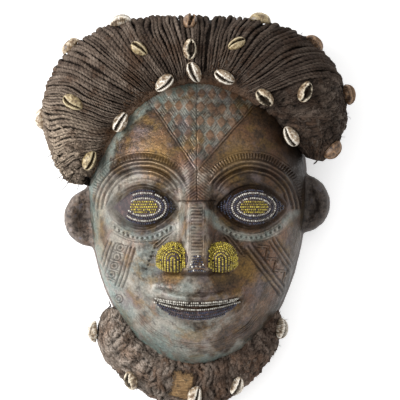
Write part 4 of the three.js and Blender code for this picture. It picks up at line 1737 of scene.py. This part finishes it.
@dataclass
class CordHair:
    """Twisted cords sewn side by side over a padded roll, with a matted end on the right."""

    form: FaceForm
    rng: random.Random
    pitch: float = 4.5
    step: float = 1.8
    turn_first: float = math.radians(-128)
    turn_last: float = math.radians(168)
    twist_length: Span = (6.0, 11.0)
    padding_inset: float = 3.4
    sway: float = math.radians(1.5)
    parting: float = math.radians(6)
    parting_half: float = math.radians(0.9)
    matted_from: float = math.radians(60)
    sweep: float = 0.17
    end: float = 0.985
    turn_steps: int = 240
    fewest: int = 12
    widest_gap: float = math.radians(2.6)
    padding_around: int = 40
    padding_rings: int = 90

    def lowness(self, angle: float) -> Array:
        """How much a place belongs to the finer, wavier end on the left."""
        return ease(-1.05, -1.5, angle)

    def angles(self, arch: HairArch) -> list[float]:
        """The place of each cord along the arch, at about an even pitch at the outer edge."""
        found, angle = [], -arch.left_span * self.end
        while angle < self.matted_from + math.radians(4):
            if abs(angle - self.parting) > self.parting_half:
                found.append(angle)
            pitch = self.pitch * (1 - 0.25 * float(self.lowness(angle)))
            angle += pitch * self.rng.uniform(0.66, 1.36) / float(arch.outer_radius(angle))
        return found

    def cord(self, arch: HairArch, angle: float, spacing: float, index: int) -> Cord | None:
        """One cord, from the hairline over the crest to the back of the roll.

        Args:
            arch: The roll that it lies on.
            angle: Its place along the roll.
            spacing: The angle to the next cord.
            index: Its number.

        Returns:
            The cord, or None where the roll leaves no room for it.
        """
        turns = np.linspace(self.turn_first, self.turn_last, self.turn_steps)
        own = waver(turns, 1.7, index * 3.7, 2.0)
        shared = waver(turns, 1.1, angle * 2.6, 31.0)
        depth = waver(turns, 1.3, index * 2.9, 17.0)
        lean = self.sweep * float(ease(0.15, 1.0, angle)) * turns / (math.pi / 2)
        wave = 1 + 2.2 * float(self.lowness(angle))
        along = angle + 0.6 * spacing * own + self.sway * wave * shared + lean
        surface = arch.point(along, turns)
        beside = arch.point(along + spacing, turns) - arch.point(along - spacing, turns)
        gap = np.linalg.norm(beside, axis=1) / 2
        radii = np.clip(gap * 0.6, 0.9, 3.6) * self.rng.uniform(0.76, 1.2)
        out = arch.normal(along, turns)
        sunk = radii * self.rng.uniform(0.6, 1.2) + 1.3 * depth - 1.2
        places = surface - out * sunk[:, None]
        outside = np.flatnonzero(arch.above_head(places))
        middle = int(np.argmin(np.abs(turns)))
        runs = np.split(outside, np.flatnonzero(np.diff(outside) > 1) + 1)
        run = next((r for r in runs if middle in r), runs[0])
        if len(run) < self.fewest:
            return None
        places, radii, out = places[run], radii[run], out[run]
        travelled = distances(places)
        even = np.linspace(0, travelled[-1], max(8, int(travelled[-1] / self.step)))
        rows = [np.interp(even, travelled, row) for row in (*places.T, *out.T, radii)]
        points, outs, thickness = np.column_stack(rows[:3]), np.column_stack(rows[3:6]), rows[6]
        knobs = 1 + 0.2 * waver(even, 1 / 4, index * 5.3, 7.0)
        from_end = np.minimum(even, travelled[-1] - even) / 3.0
        rounding = np.sqrt(np.clip(1 - np.clip(1 - from_end, 0, 1) ** 2, 0.02, 1))
        twist = self.rng.uniform(0, math.pi) + 2 * np.pi * even / self.rng.uniform(*self.twist_length)
        stain = hump(even / 17)
        return Cord(points, thickness * knobs * rounding, twist, self.rng.random(), outs, stain)

    def padding(self, arch: HairArch) -> Piece:
        """The roll under the cords."""
        bm, _, along, turn = ball(self.padding_around, self.padding_rings)
        angle = (arch.left_span + arch.right_span) * along - arch.left_span
        angle = np.clip(angle, -arch.left_span * self.end, arch.right_span * self.end)
        pole = np.sin(np.pi * along) > 1e-3
        inset = (self.padding_inset + 7 * ease(self.matted_from - 0.1, self.matted_from, angle)) * pole
        move_corners(bm, arch.clear_of_head(arch.lifted(angle, turn, -inset), 0.4))
        piece = add_piece("hair_padding", bm, Fibre(), Slot.FIBRE)
        count = len(piece.data.vertices)
        # The padding is painted dark all over, as the shade in the gaps between the cords.
        mark(piece, groove=np.full(count, 0.75), tone=np.zeros(count), stain=np.zeros(count))
        return piece

    def tangle(self, arch: HairArch) -> Felt:
        """The matted end on the right, whose start sinks under the last cords."""
        grain = {"fold": 3.2, "crease": 1.8, "lump": 2.2, "fold_draw": 0.9, "crease_draw": 0.8, "shade": 0.8}
        ends = {"first": self.matted_from, "last": arch.right_span * self.end, "sunk_start": 5.0}
        return Felt(self.form, arch=arch, rings=100, around=110, raised=2.6, **grain, **ends)

    def knots(self, arch: HairArch) -> list[Cord]:
        """The lumps at the left end and the loose tufts of the tangle."""
        felt = self.tangle(arch)
        fine = Curls(self.rng, (10, 22), (0.5, 1.1), crooked=7.0)
        small = Curls(self.rng, (8, 18), (1.0, 2.0), crooked=9.0)
        large = Curls(self.rng, (8, 14), (2.6, 4.2), crooked=8.0)
        thick = Curls(self.rng, (9, 15), (3.8, 5.6), crooked=9.0)
        return [
            *small.patch(felt, 110, (66, 98), (-40, 95)),
            *fine.patch(felt, 90, (66, 99), (-45, 95)),
            *large.patch(arch, 40, (-112, -97), (-60, 120)),
            *small.patch(arch, 44, (-112, -84), (-20, 100)),
            *thick.patch(arch, 16, (-113, -106), (35, 105)),
        ]

    def build(self) -> list[Piece]:
        """Makes the padding, the cords, the tangle and the knots.

        Returns:
            The pieces.
        """
        arch = HairArch(self.form)
        angles = self.angles(arch)
        sides: dict[str, list[Cord]] = {"left": [], "right": []}
        for index, angle in enumerate(angles):
            after = angles[min(index + 1, len(angles) - 1)]
            before = angles[max(index - 1, 0)]
            spacing = min((after - before) / (2 if 0 < index < len(angles) - 1 else 1), self.widest_gap)
            made = self.cord(arch, angle, spacing, index)
            if made is not None:
                sides["left" if angle < 0 else "right"].append(made)
        maker = CordMaker()
        left = maker.build("hair_cords_left", sides["left"], Fibre(), ("hair_roll",))
        right = maker.build("hair_cords_right", sides["right"], Fibre())
        knots = CordMaker(6).build("hair_knots", self.knots(arch), Fibre())
        return [self.padding(arch), left, right, self.tangle(arch).build("hair_tangle", Fibre()), knots]


@dataclass
class MattedBeard:
    """The beard: a matted mass with folds, felted strands, twisted locks and knots on the right."""

    form: FaceForm
    rng: random.Random
    locks: int = 41
    knots: int = 120
    strands: int = 90
    half_span: float = 66
    fewest: int = 7
    locks_first: float = -23.5
    locks_span: float = 49.5

    def finish(self) -> Fibre:
        """The beard's own fibre, a little greyer than the hair."""
        return Fibre(
            "beard_fibre", "30281f", "63574e", "978a7e", "705341", "b8aba0", 0, -60, "5c4236", 0.3
        )

    def run(
        self, arch: Roll, along: Array, across: Array, radius: float, turns: float, lift: float = 0
    ) -> Cord | None:
        """A strand along a route over the ruff.

        Args:
            arch: The ruff.
            along: The route's places along it.
            across: The route's places round its section.
            radius: The strand's thickness.
            turns: How often it is twisted.
            lift: How far it is raised.

        Returns:
            The strand, or None where too little of it is outside the head.
        """
        seed = self.rng.uniform(0, 90)
        out = arch.normal(along, across)
        depth = radius * 0.6 + 1.3 * waver(across * 2.6 + along * 25, 1, seed, 5.0) - lift
        places = arch.point(along, across) - out * depth[:, None]
        kept = arch.above_head(places + out * radius * 0.3)
        places, out = places[kept], out[kept]
        count = len(places)
        if count < self.fewest:
            return None
        ends = np.minimum(np.arange(count), np.arange(count)[::-1]) / 4
        radii = radius * np.sqrt(np.clip(1 - np.clip(1 - ends, 0, 1) ** 2, 0.03, 1))
        red = np.clip([0.9 * noise.noise(tuple(place / 9)) + 0.1 for place in places], 0, 0.8)
        twist = seed + np.linspace(0, 2 * np.pi * turns, count)
        return Cord(places, radii, twist, self.rng.random(), out, red)

    def lock(self, arch: BeardArch, angle: float) -> Cord | None:
        """One twisted lock that runs across the ruff."""
        first = math.radians(self.rng.uniform(-80, -50))
        last = math.radians(self.rng.uniform(95, 150))
        turns = np.linspace(first, last, 46)
        seed = self.rng.uniform(0, 90)
        along = angle + 0.07 * waver(turns, 2.2, seed)
        under_patch = abs(angle - BareMatting.angle) < BareMatting.half_angle * 1.5
        lift = self.rng.uniform(-1.6, -1.0) if under_patch else self.rng.uniform(0.7, 2.3)
        lift -= 2.0 * float(ease(0.26, 0.4, abs(angle)))
        return self.run(arch, along, turns, self.rng.uniform(1.8, 4.0), 5, lift)

    def felted(self, arch: Roll, first: float, last: float) -> Cord | None:
        """One felted strand that lies more along the ruff than across it."""
        angle = math.radians(self.rng.uniform(first, last))
        turn = math.radians(self.rng.uniform(-75, 95))
        steps = np.linspace(-0.5, 0.5, 16)
        slant = self.rng.uniform(-0.5, 0.9)
        seed = self.rng.uniform(0, 90)
        bend = waver(steps, 3.0, seed, 3.0)
        length = self.rng.uniform(14, 30)
        along = angle + length * steps / arch.reach
        across = turn + (length * steps * slant * 0.5 + 3.0 * bend) / arch.girth
        return self.run(arch, along, across, self.rng.uniform(0.5, 1.0), 3)

    def build(self) -> list[Piece]:
        """Makes the mass, the strands, the locks and the knots.

        Returns:
            The pieces.
        """
        arch = BeardArch(self.form)
        span = arch.span * 0.992
        grain = {"fold": 2.9, "crease": 1.7, "lump": 2.2, "shade": 0.8}
        mat = Felt(self.form, arch=arch, first=-span, last=span, rings=290, raised=3.3, **grain)
        end = self.half_span
        shares = [self.locks_span * i / (self.locks - 1) for i in range(self.locks)]
        middle = [math.radians(self.locks_first + share) for share in shares]
        locks = [self.lock(arch, a + self.rng.uniform(-0.015, 0.015)) for a in middle]
        strands = [self.felted(mat, -end, -24) for _ in range(self.strands)]
        strands += [self.felted(mat, 18, end) for _ in range(self.strands // 2)]
        curls = Curls(self.rng, (6, 13), (0.9, 2.2), crooked=8.0)
        knots = curls.patch(mat, self.knots, (22, end), (-70, 100))
        finish = self.finish()
        return [
            mat.build("beard_mat", finish, ("beard_ruff",)),
            CordMaker(8).build("beard_locks", [c for c in locks if c], finish),
            CordMaker(6).build("beard_strands", [c for c in strands if c], finish),
            CordMaker(6).build("beard_knots", knots, finish),
        ]


@dataclass
class BareMatting:
    """The bare tan patch on the beard, with a ragged edge."""

    form: FaceForm
    angle: float = math.radians(-7.2)
    half_angle: float = math.radians(5.2)
    turn: float = math.radians(8)
    half_turn: float = math.radians(32)
    lift: float = 1.5
    thickness: float = 1.4
    columns: int = 46
    rows: int = 58

    def build(self) -> Piece:
        """Makes the patch.

        Returns:
            The piece.
        """
        arch = BeardArch(self.form)
        bm = plate(self.columns, self.rows)
        unit = corners(bm)
        edge = np.max(np.abs(unit[:, :2]), axis=1)
        rag = rough(unit * [1, 1, 0], 0.5, 9) * 0.16 + rough(unit * [1, 1, 0], 0.12, 12) * 0.3 * edge**4
        angle = self.angle + self.half_angle * unit[:, 0] * (1 + rag)
        turn = self.turn - self.half_turn * unit[:, 1] * (1 + rag)
        waves = 0.25 * np.sin(unit[:, 1] * 46) + 0.5 * rough(unit * [1, 1, 0], 0.4, 10)
        lift = self.lift + (self.thickness * (1 - 0.6 * edge**6) + waves) * unit[:, 2]
        move_corners(bm, arch.lifted(angle, turn, lift))
        piece = add_piece("tan_patch", bm, TanMatting(), Slot.TAN, ("beard_patch",))
        mark(piece, groove=np.clip(ease(0.72, 1.0, edge) * 0.8, 0, 1))
        return piece


class ShellState(Enum):
    """How a shell has lasted."""

    WHOLE = "whole"
    DULL = "dull and dirty"
    BROKEN = "broken open"
    DARK = "dark, with its crown lost"


@dataclass
class CowrieShells:
    """Cowries with their backs cut flat, sewn on with the slit out."""

    length: float = 22
    width: float = 13.6
    height: float = 9
    rim: float = 1
    slit_depth: float = 4.6
    slit_half: float = 1.5
    tooth_pitch: float = 1.9
    columns: int = 40
    rings: int = 54
    small: float = 0.84

    NOT_WHOLE = {
        ShellState.DULL: tuple(f"hair_cowrie_{i}" for i in (5, 9, 10, 12, 14)),
        ShellState.BROKEN: (*(f"hair_cowrie_{i}" for i in (2, 11, 13, 19)), "beard_cowrie_2"),
        ShellState.DARK: tuple(f"hair_cowrie_{i}" for i in (4, 6, 7, 8)),
    }
    FINISHES = {
        ShellState.WHOLE: ShellEnamel(),
        ShellState.DULL: ShellEnamel("cowrie_dull", "c4b490", "5d4c36", "8d7a55"),
        ShellState.BROKEN: ShellEnamel("cowrie_broken", "d9cdb6", "4d3c2d", "8d765a"),
        ShellState.DARK: ShellEnamel("cowrie_dark", "967658", "3a2a20", "69503b"),
    }
    SMALL = ("hair_cowrie_10", "hair_cowrie_12")

    def pose(self, node: Piece) -> Matrix:
        """Where a shell lies, from its solid.

        Args:
            node: The solid.

        Returns:
            The pose of a shell whose flat back is at the origin, with its length along +Y.
        """
        bm = merged(node)
        places = corners(bm)
        bm.free()
        middle = places.mean(axis=0)
        _, _, axes = np.linalg.svd(places - middle)
        length, _, up = axes
        depth = (places - middle) @ up
        if np.sum(depth < depth.min() + 1.2 * MM) < np.sum(depth > depth.max() - 1.2 * MM):
            up = -up
            depth = -depth
        across = np.cross(length, up)
        spans = [(places - middle) @ a for a in (across, length)]
        centre = middle + sum(a * (s.max() + s.min()) / 2 for a, s in zip((across, length), spans))
        centre = centre + up * depth.min()
        turn = Matrix([across, length, up]).transposed().to_4x4()
        return Matrix.Translation(centre) @ turn

    def shape(self, end: Array, turn: Array, state: ShellState, seed: int) -> tuple[Array, Array, Array]:
        """Shapes one shell.

        Args:
            end: Heights of the corners of a round ball along its axis.
            turn: The corners' places round it.
            state: How the shell has lasted.
            seed: Number of the shell.

        Returns:
            The corners in millimetres, how dark each one is with dirt and painted shade, and how much it is
            lip.
        """
        rng = random.Random(seed)
        girth = np.clip(1 - end**2, 0, None) ** 0.53
        x = self.width / 2 * rng.uniform(0.95, 1.06) * girth
        x = x * signed_power(np.sin(turn), 0.9) * (1 - 0.1 * end)
        y = self.length / 2 * rng.uniform(0.95, 1.02) * end
        front = np.cos(turn) > 0
        crown = self.rim + (self.height - self.rim) * girth * np.clip(np.cos(turn), 0, 1) ** 0.6
        plan = np.column_stack([x, y, np.full_like(x, 5.0 * seed)])
        bend = rng.choice([-1, 1])
        away = x - bend * (1.5 * end**2 - 1.7) - 0.5 * end + 0.45 * rough(plan, 3.2, 28)
        jagged = 0.24 * np.cos(2 * np.pi * y / self.tooth_pitch + seed) + 0.3 * rough(plan, 1.6, 29)
        half = self.slit_half * rng.uniform(0.85, 1.3) * (1 - 0.35 * end) * (1 - 0.6 * end**4) + jagged
        half = np.clip(half, 0.35, None)
        open_part = ease(0.97, 0.86, np.abs(end))
        lip = hump((np.abs(away) - half - 0.9) / 1.3)
        furrow = 0.7 * hump((away * bend + half + 2.9) / 0.9)
        slit = self.slit_depth * hump(away / (half * 1.15)) ** 0.4
        z = crown + (0.8 * lip - slit - 0.5 * furrow) * open_part * girth
        # Painted shade, with some dirt, in the slit and in the furrow beside the narrow lip.
        dirt_and_shade = np.maximum(hump(away / (half * 1.25)) ** 0.4, furrow) * open_part
        if state in (ShellState.BROKEN, ShellState.DARK):
            jag = rough(np.column_stack([x, y, np.full_like(x, 9.0 * seed)]), 2.2, 11)
            size = (3.7, 7.4) if state is ShellState.BROKEN else (2.6, 4.6)
            far = np.hypot((x + bend * 1.7) / size[0], (y - rng.uniform(-1.5, 1.5)) / size[1]) + 0.3 * jag
            broken = ease(1.0, 0.86, far)
            z = z * (1 - broken) + (1.4 + 0.5 * jag) * broken
            # Painted shade in the broken hole.
            dirt_and_shade = np.maximum(dirt_and_shade, 0.93 * broken)
            lip = np.maximum(lip, hump((far - 1.18) / 0.3) * front)
        z = np.where(front, np.maximum(z, 1.0), self.rim * (1 - girth))
        # Painted shade low round the base, where the shell meets the hair.
        dirt_and_shade = np.maximum(dirt_and_shade, 0.5 * ease(2.6, 1.0, z) * front)
        return np.column_stack([x, y, z]), np.clip(dirt_and_shade, 0, 1), lip * open_part

    def build(self, node: Piece, seed: int) -> Piece:
        """Makes one shell in the place of its solid.

        Args:
            node: The solid.
            seed: Number of the shell.

        Returns:
            The piece.
        """
        name = node["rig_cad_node"]
        state = next((kind for kind, names in self.NOT_WHOLE.items() if name in names), ShellState.WHOLE)
        bm, end, _, turn = ball(self.columns, self.rings)
        places, dirt_and_shade, lip = self.shape(end, turn, state, seed)
        move_corners(bm, places * (self.small if name in self.SMALL else 1))
        bmesh.ops.transform(bm, matrix=self.pose(node), verts=bm.verts)
        piece = add_piece(f"shell_{name}", bm, self.FINISHES[state], Slot.SHELL, (name,))
        mark(piece, groove=dirt_and_shade, lip=lip)
        return piece


class BeadColour(Enum):
    """The colours of the seed beads."""

    NAVY = Slot.NAVY
    YELLOW = Slot.YELLOW
    WHITE = Slot.WHITE


@dataclass
class Strand:
    """Beads on one thread over the face: their places in plan, colours and spacing."""

    x: Array
    y: Array
    colours: list[BeadColour | None]
    spacing: float = 2.0


@dataclass
class BeadWork:
    """Rows of seed beads set in pitch."""

    form: FaceForm
    rng: random.Random
    radius: float = 0.98
    length: float = 1.5
    hole: float = 0.3
    row: float = 2.45
    nostril_row: float = 2.95
    nostril_spacing: float = 1.75
    bed: float = 0.5
    bed_under: float = 1.4
    lost: float = 0.035
    slip: float = 0.12
    sides: int = 5
    around: int = 8

    FINISHES = {
        BeadColour.NAVY: GlassBead("navy_glass", "11121a", "3c4058"),
        BeadColour.YELLOW: GlassBead("yellow_glass", "6f5c16", "d0bc48"),
        BeadColour.WHITE: GlassBead("white_glass", "8d877c", "dcd8ce"),
    }

    def single(self) -> bpy.types.Mesh:
        """One bead, with its hole along X."""
        bm = bmesh.new()
        ring = bmesh.ops.create_circle(bm, segments=self.sides, radius=1)["verts"]
        thick = (self.radius - self.hole) / 2
        bmesh.ops.scale(bm, verts=ring, vec=(self.length / 2, thick, 1))
        bmesh.ops.translate(bm, verts=ring, vec=(0, self.hole + thick, 0))
        ring, turn = list(bm.edges), {"angle": 2 * math.pi, "steps": self.around, "use_merge": True}
        bmesh.ops.spin(bm, geom=ring, cent=(0, 0, 0), axis=(1, 0, 0), **turn)
        bmesh.ops.remove_doubles(bm, verts=bm.verts, dist=0.01)
        bmesh.ops.recalc_face_normals(bm, faces=bm.faces)
        bmesh.ops.scale(bm, verts=bm.verts, vec=(MM, MM, MM))
        return as_mesh("seed_bead", bm)

    def string(self, strand: Strand) -> list[tuple[BeadColour, Matrix]]:
        """Strings beads along a strand, bead against bead.

        Args:
            strand: The thread's way over the face.

        Returns:
            The colour and the pose of each bead.
        """
        x, y = strand.x, strand.y
        out = self.form.normal(x, y)
        places = self.form.surface(x, y, self.form.front) + out * (self.bed + self.radius * 0.75)
        travelled = distances(places)
        beads = []
        for stop in np.arange(strand.spacing / 2, travelled[-1], strand.spacing):
            stop = stop + self.rng.uniform(-self.slip, self.slip)
            at = int(np.searchsorted(travelled, stop))
            shade = strand.colours[min(at, len(strand.colours) - 1)]
            if shade is None or self.rng.random() < self.lost:
                continue
            place = Vector([np.interp(stop, travelled, places[:, i]) for i in range(3)])
            ahead = Vector(places[min(at + 1, len(places) - 1)] - places[max(at - 1, 0)]).normalized()
            up = Vector(out[min(at, len(out) - 1)])
            side = up.cross(ahead).normalized()
            place = place + up * self.rng.uniform(-0.2, 0.15) + side * self.rng.uniform(-0.15, 0.15)
            turn = Matrix([ahead, side, ahead.cross(side)]).transposed().to_4x4()
            tilt = Matrix.Rotation(self.rng.uniform(-0.22, 0.22), 4, "Z")
            tilt = tilt @ Matrix.Rotation(self.rng.uniform(-0.15, 0.15), 4, "Y")
            size = Matrix.Scale(self.rng.uniform(0.9, 1.06), 4)
            beads.append((shade, Matrix.Translation(place * MM) @ turn @ tilt @ size))
        return beads

    def lay(self, area: str, strands: list[Strand], replaces: tuple[str, ...]) -> list[Piece]:
        """Makes one piece for each colour of an area's beads."""
        beads = [bead for strand in strands for bead in self.string(strand)]
        single = self.single()
        across = np.array([v.co.yz.length for v in single.vertices]) / MM
        made = []
        for shade in BeadColour:
            poses = [pose for found, pose in beads if found is shade]
            if not poses:
                continue
            bm = bmesh.new()
            for pose in poses:
                copy = single.copy()
                copy.transform(pose)
                bm.from_mesh(copy)
                bpy.data.meshes.remove(copy)
            tones = np.repeat([self.rng.random() for _ in poses], len(single.vertices))
            name = f"{area}_{shade.name.lower()}_beads"
            piece = add_piece(name, bm, self.FINISHES[shade], shade.value, replaces if not made else ())
            # The groove is painted shade towards each bead's hole, where the beads meet.
            mark(piece, tone=tones, groove=np.tile(ease(0.75 * self.radius, self.hole, across), len(poses)))
            made.append(piece)
        return made

    def bedding(self, name: str, x: Array, y: Array, bm: BMesh, slot: Slot) -> Piece:
        """The pitch under an area's beads: corners raised by one unit are its upper side."""
        unit = corners(bm)
        share = np.maximum(np.abs(unit[:, 0]), np.abs(unit[:, 1]))
        rim = ease(1.0, 0.86, share)
        lumps = 0.3 * rough(plan_points(x, y), 3, 12)
        lift = np.where(unit[:, 2] > 0.5, (self.bed + 1.0 + lumps) * rim - 0.5, -self.bed_under)
        move_corners(bm, self.form.surface(x, y, self.form.front + lift))
        return add_piece(name, bm, Pitch(), slot)

    def eye(self, side: int) -> list[Piece]:
        """The beads and the bedding of one eye: yellow rows, ringed by white and navy rows.

        Args:
            side: -1 for the left eye and 1 for the right one.

        Returns:
            The pieces.
        """
        label = side_name(side)
        eye = self.form.eye
        half_width, half_height, narrowing = 28.5, 17.5, 0.8
        oval_width, oval_height = 13.0, 6.4
        shift = 2.0
        middle_x = side * eye.x + shift

        def strand(x: Array, y: Array, shade: BeadColour) -> Strand:
            """One thread, without the beads outside the almond or lost."""
            u = (x - side * eye.x) / half_width
            held = np.abs(y - eye.y) < half_height * (1 - narrowing * u * u) - 1.0
            bare = (side < 0) & (u < -0.42 + 0.012 * (y - eye.y)) & (np.abs(y - eye.y) < 12)
            return Strand(x, y, [shade if ok else None for ok in held & ~bare])

        strands = []
        for k in range(-2, 3):
            half = oval_width * math.sqrt(1 - (k * self.row / (oval_height + 1.2)) ** 2)
            x = np.linspace(middle_x - half, middle_x + half, 90)
            strands.append(strand(x, eye.y + np.full(90, k * self.row), BeadColour.YELLOW))
        order = [BeadColour.WHITE, BeadColour.NAVY, BeadColour.WHITE] + [BeadColour.NAVY] * 5
        turn = np.linspace(0, 2 * np.pi, 420)
        for k, shade in enumerate(order):
            x = middle_x + (oval_width + (k + 1) * self.row) * np.cos(turn)
            y = eye.y + (oval_height + (k + 0.75) * self.row) * np.sin(turn)
            strands.append(strand(x, y, shade))
        bm = plate(40, 28)
        share, angle = square_to_disc(*corners(bm)[:, :2].T)
        u, v = share * np.sin(angle), share * np.cos(angle)
        x = side * eye.x + (half_width + 1.5) * u
        y = eye.y + (half_height + 1.0) * v * (1 - narrowing * u * u)
        bed = self.bedding(f"{label}_eye_bedding", x, y, bm, Slot.NAVY)
        return [bed, *self.lay(f"{label}_eye", strands, (f"eye_beads_{label}",))]

    def nostril(self, side: int) -> list[Piece]:
        """The beads and the bedding of one nostril, in arches one inside the other."""
        label = side_name(side)
        nose = self.form.nose
        reach = np.linspace(0, nose.ball_radius * 0.9, 120)
        slant = distances(np.column_stack([reach, nose.ball_rise(reach / nose.ball_radius)]))
        strands = []
        k = 0
        while (k + 0.5) * self.nostril_row < slant[-1]:
            radius = float(np.interp((k + 0.5) * self.nostril_row, slant, reach))
            drop = (nose.ball_y - nose.base_y - 1.6) * (1 - (radius / nose.ball_radius) ** 2.6) ** 0.5
            leg = np.linspace(nose.ball_y - drop, nose.ball_y, 40)
            arch = np.linspace(-math.pi / 2, math.pi / 2, 160)
            x = np.concatenate([np.full(40, -radius), radius * np.sin(arch), np.full(40, radius)])
            y = np.concatenate([leg, nose.ball_y + radius * np.cos(arch), leg[::-1]])
            x = side * nose.ball_x + x
            clear = np.abs(x) > nose.top_half + nose.top_spread + 1.5
            colours = [BeadColour.YELLOW if c else None for c in clear]
            strands.append(Strand(x, y, colours, self.nostril_spacing))
            k += 1
        bm = plate(26, 26)
        share, angle = square_to_disc(*corners(bm)[:, :2].T)
        x = side * nose.ball_x + nose.ball_radius * 0.86 * share * np.sin(angle)
        y = np.maximum(nose.ball_y + nose.ball_radius * 0.86 * share * np.cos(angle), nose.base_y + 1.0)
        bed = self.bedding(f"{label}_nostril_bedding", x, y, bm, Slot.YELLOW)
        return [bed, *self.lay(f"{label}_nostril", strands, (f"nostril_beads_{label}",))]

    def nose_tip(self) -> list[Piece]:
        """Short rows of navy and white beads across the end of the nose."""
        nose = self.form.nose
        strands = []
        for k in range(6):
            half = 8.4 - 0.9 * k
            x = np.linspace(-half, half, 90)
            y = nose.base_y + 3.0 + k * self.row - 0.02 * x * x
            colours = [BeadColour.WHITE if self.rng.random() < 0.12 else BeadColour.NAVY for _ in x]
            strands.append(Strand(x, y, colours))
        return self.lay("nose_tip", strands, ())

    def lips(self) -> list[Piece]:
        """Two white rows under the upper lip, one white row and three navy rows on the lower lip."""
        mouth = self.form.mouth
        rows = [(5.2, 40, BeadColour.WHITE), (2.9, 38, BeadColour.WHITE), (-3.6, 41, BeadColour.WHITE)]
        rows += [(-6.0, 38, BeadColour.NAVY), (-8.4, 34, BeadColour.NAVY), (-10.8, 27, BeadColour.NAVY)]
        strands = []
        for offset, half, shade in rows:
            x = np.linspace(-half, half, 300)
            pull = 1 - 0.55 * (x / mouth.half_width) ** 2
            strands.append(Strand(x, mouth.line(x) + offset * pull, [shade] * 300))
        bm = plate(60, 8)
        u, v = corners(bm)[:, 0], corners(bm)[:, 1]
        x = 39 * u
        y = mouth.line(x) + (-8.0 + 4.6 * v) * (1 - 0.6 * u * u)
        bed = self.bedding("lip_bedding", x, y, bm, Slot.NAVY)
        return [bed, *self.lay("lip", strands, ("lip_beads",))]

    def build(self) -> list[Piece]:
        """Makes all the beadwork.

        Returns:
            The pieces.
        """
        made = [piece for side in (-1, 1) for piece in (*self.eye(side), *self.nostril(side))]
        return [*made, *self.nose_tip(), *self.lips()]


@dataclass
class StrayFibres:
    """Thin fibres that stand out of the hair and the beard."""

    form: FaceForm
    rng: random.Random
    hair: int = 260
    knob: int = 80
    beard: int = 240
    short: Span = (3, 8)
    long: Span = (7, 18)
    radius: float = 0.27
    sunk: float = 3.4
    steps: int = 9

    def fibre(self, arch: Roll, angle: float, turn: float, reach: float) -> Cord:
        """One loose fibre that leaves the surface and bends back."""
        root = arch.point(np.array([angle]), np.array([turn]))[0]
        out = arch.normal(np.array([angle]), np.array([turn]))[0]
        drift = np.array([self.rng.uniform(-1, 1) for _ in range(3)])
        steps = np.linspace(0, 1, self.steps)[:, None]
        bend = out * np.sin(np.pi * steps * 0.75) * (reach * 0.3 + 2.6)
        points = root - out * self.sunk + bend + drift * steps * reach * 0.8
        radii = self.radius * (0.75 + 0.07 * reach) * (1 - 0.6 * steps[:, 0])
        return Cord(points, radii, np.zeros(self.steps), self.rng.random(), np.zeros_like(points))

    def scatter(self, arch: Roll, count: int, angles: Span, reach: Span) -> list[Cord]:
        """Fibres all over a roll, between two places along it in degrees."""
        made = []
        for _ in range(count):
            angle = math.radians(self.rng.uniform(*angles))
            turn = math.radians(self.rng.uniform(-50, 110))
            made.append(self.fibre(arch, angle, turn, self.rng.uniform(*reach)))
        return [f for f in made if np.all(arch.above_head(f.points))]

    def build(self) -> Piece:
        """Makes the fibres.

        Returns:
            The piece.
        """
        hair, beard = HairArch(self.form), BeardArch(self.form)
        fibres = self.scatter(hair, self.hair, (-110, 102), self.short)
        fibres += self.scatter(hair, self.knob, (-113, -98), self.long)
        fibres += self.scatter(beard, self.beard, (-66, 66), self.short)
        return CordMaker(3, 1, 0.0).build("stray_fibres", fibres, Fibre())


@dataclass
class Studio:
    """The pale floor, the soft light and the camera over the mask."""

    camera_height: float = 4.5
    focus_height: float = 0.03
    frame: float = 0.4
    centre: Span = (0.003, 0.0095)
    floor_size: float = 8.0
    sensor: float = 36.0
    ambient: float = 0.72

    def floor(self) -> None:
        """Lays the floor under the mask."""
        bm = bmesh.new()
        bmesh.ops.create_grid(bm, x_segments=1, y_segments=1, size=self.floor_size / 2)
        floor = add_object("floor", as_mesh("floor", bm))
        floor.data.materials.append(PaleFloor().material())

    def lamp(self, name: str, place: Vector, size: float, power: float) -> None:
        """Hangs one soft lamp that faces the mask."""
        light = bpy.data.lights.new(name, "AREA")
        light.shape = "DISK"
        light.size = size
        light.energy = power
        lamp = add_object(name, light)
        lamp.location = place
        lamp.rotation_euler = (-place).to_track_quat("-Z", "Y").to_euler()

    def camera(self) -> None:
        """Sets the camera straight above, so that the frame is as wide at the face as it should be."""
        data = bpy.data.cameras.new("camera")
        data.sensor_width = self.sensor
        data.lens = self.sensor * (self.camera_height - self.focus_height) / self.frame
        camera = add_object("camera", data)
        camera.location = (*self.centre, self.camera_height)
        bpy.context.scene.camera = camera

    def build(self) -> None:
        """Sets up the studio."""
        world = bpy.data.worlds.new("studio")
        world.use_nodes = True
        sky = world.node_tree.nodes["Background"]
        sky.inputs["Color"].default_value = (1.0, 1.0, 1.0, 1.0)
        sky.inputs["Strength"].default_value = self.ambient
        bpy.context.scene.world = world
        bpy.context.scene.view_settings.view_transform = "Standard"
        self.floor()
        self.lamp("key", Vector((-1.5, 0.3, 1.15)), 1.2, 43)
        self.lamp("fill", Vector((0.4, 0.9, 2.2)), 1.6, 6)
        self.camera()


def main() -> None:
    """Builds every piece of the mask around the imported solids."""
    logging.basicConfig(level=logging.INFO, format="%(message)s")
    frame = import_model()
    nodes = frame["nodes"]
    Studio().build()
    form = FaceForm()
    WoodenHead(form).build(nodes["mask_body"])
    FaceSheet(form).build()
    CordHair(form, random.Random(11)).build()
    HairlineFelt(form, random.Random(17)).build()
    MattedBeard(form, random.Random(23)).build()
    BareMatting(form).build()
    shells = CowrieShells()
    for seed, name in enumerate(sorted(n for n in nodes if "cowrie" in n)):
        shells.build(nodes[name], seed)
    BeadWork(form, random.Random(37)).build()
    StrayFibres(form, random.Random(41)).build()


if __name__ == "__main__":
    main()
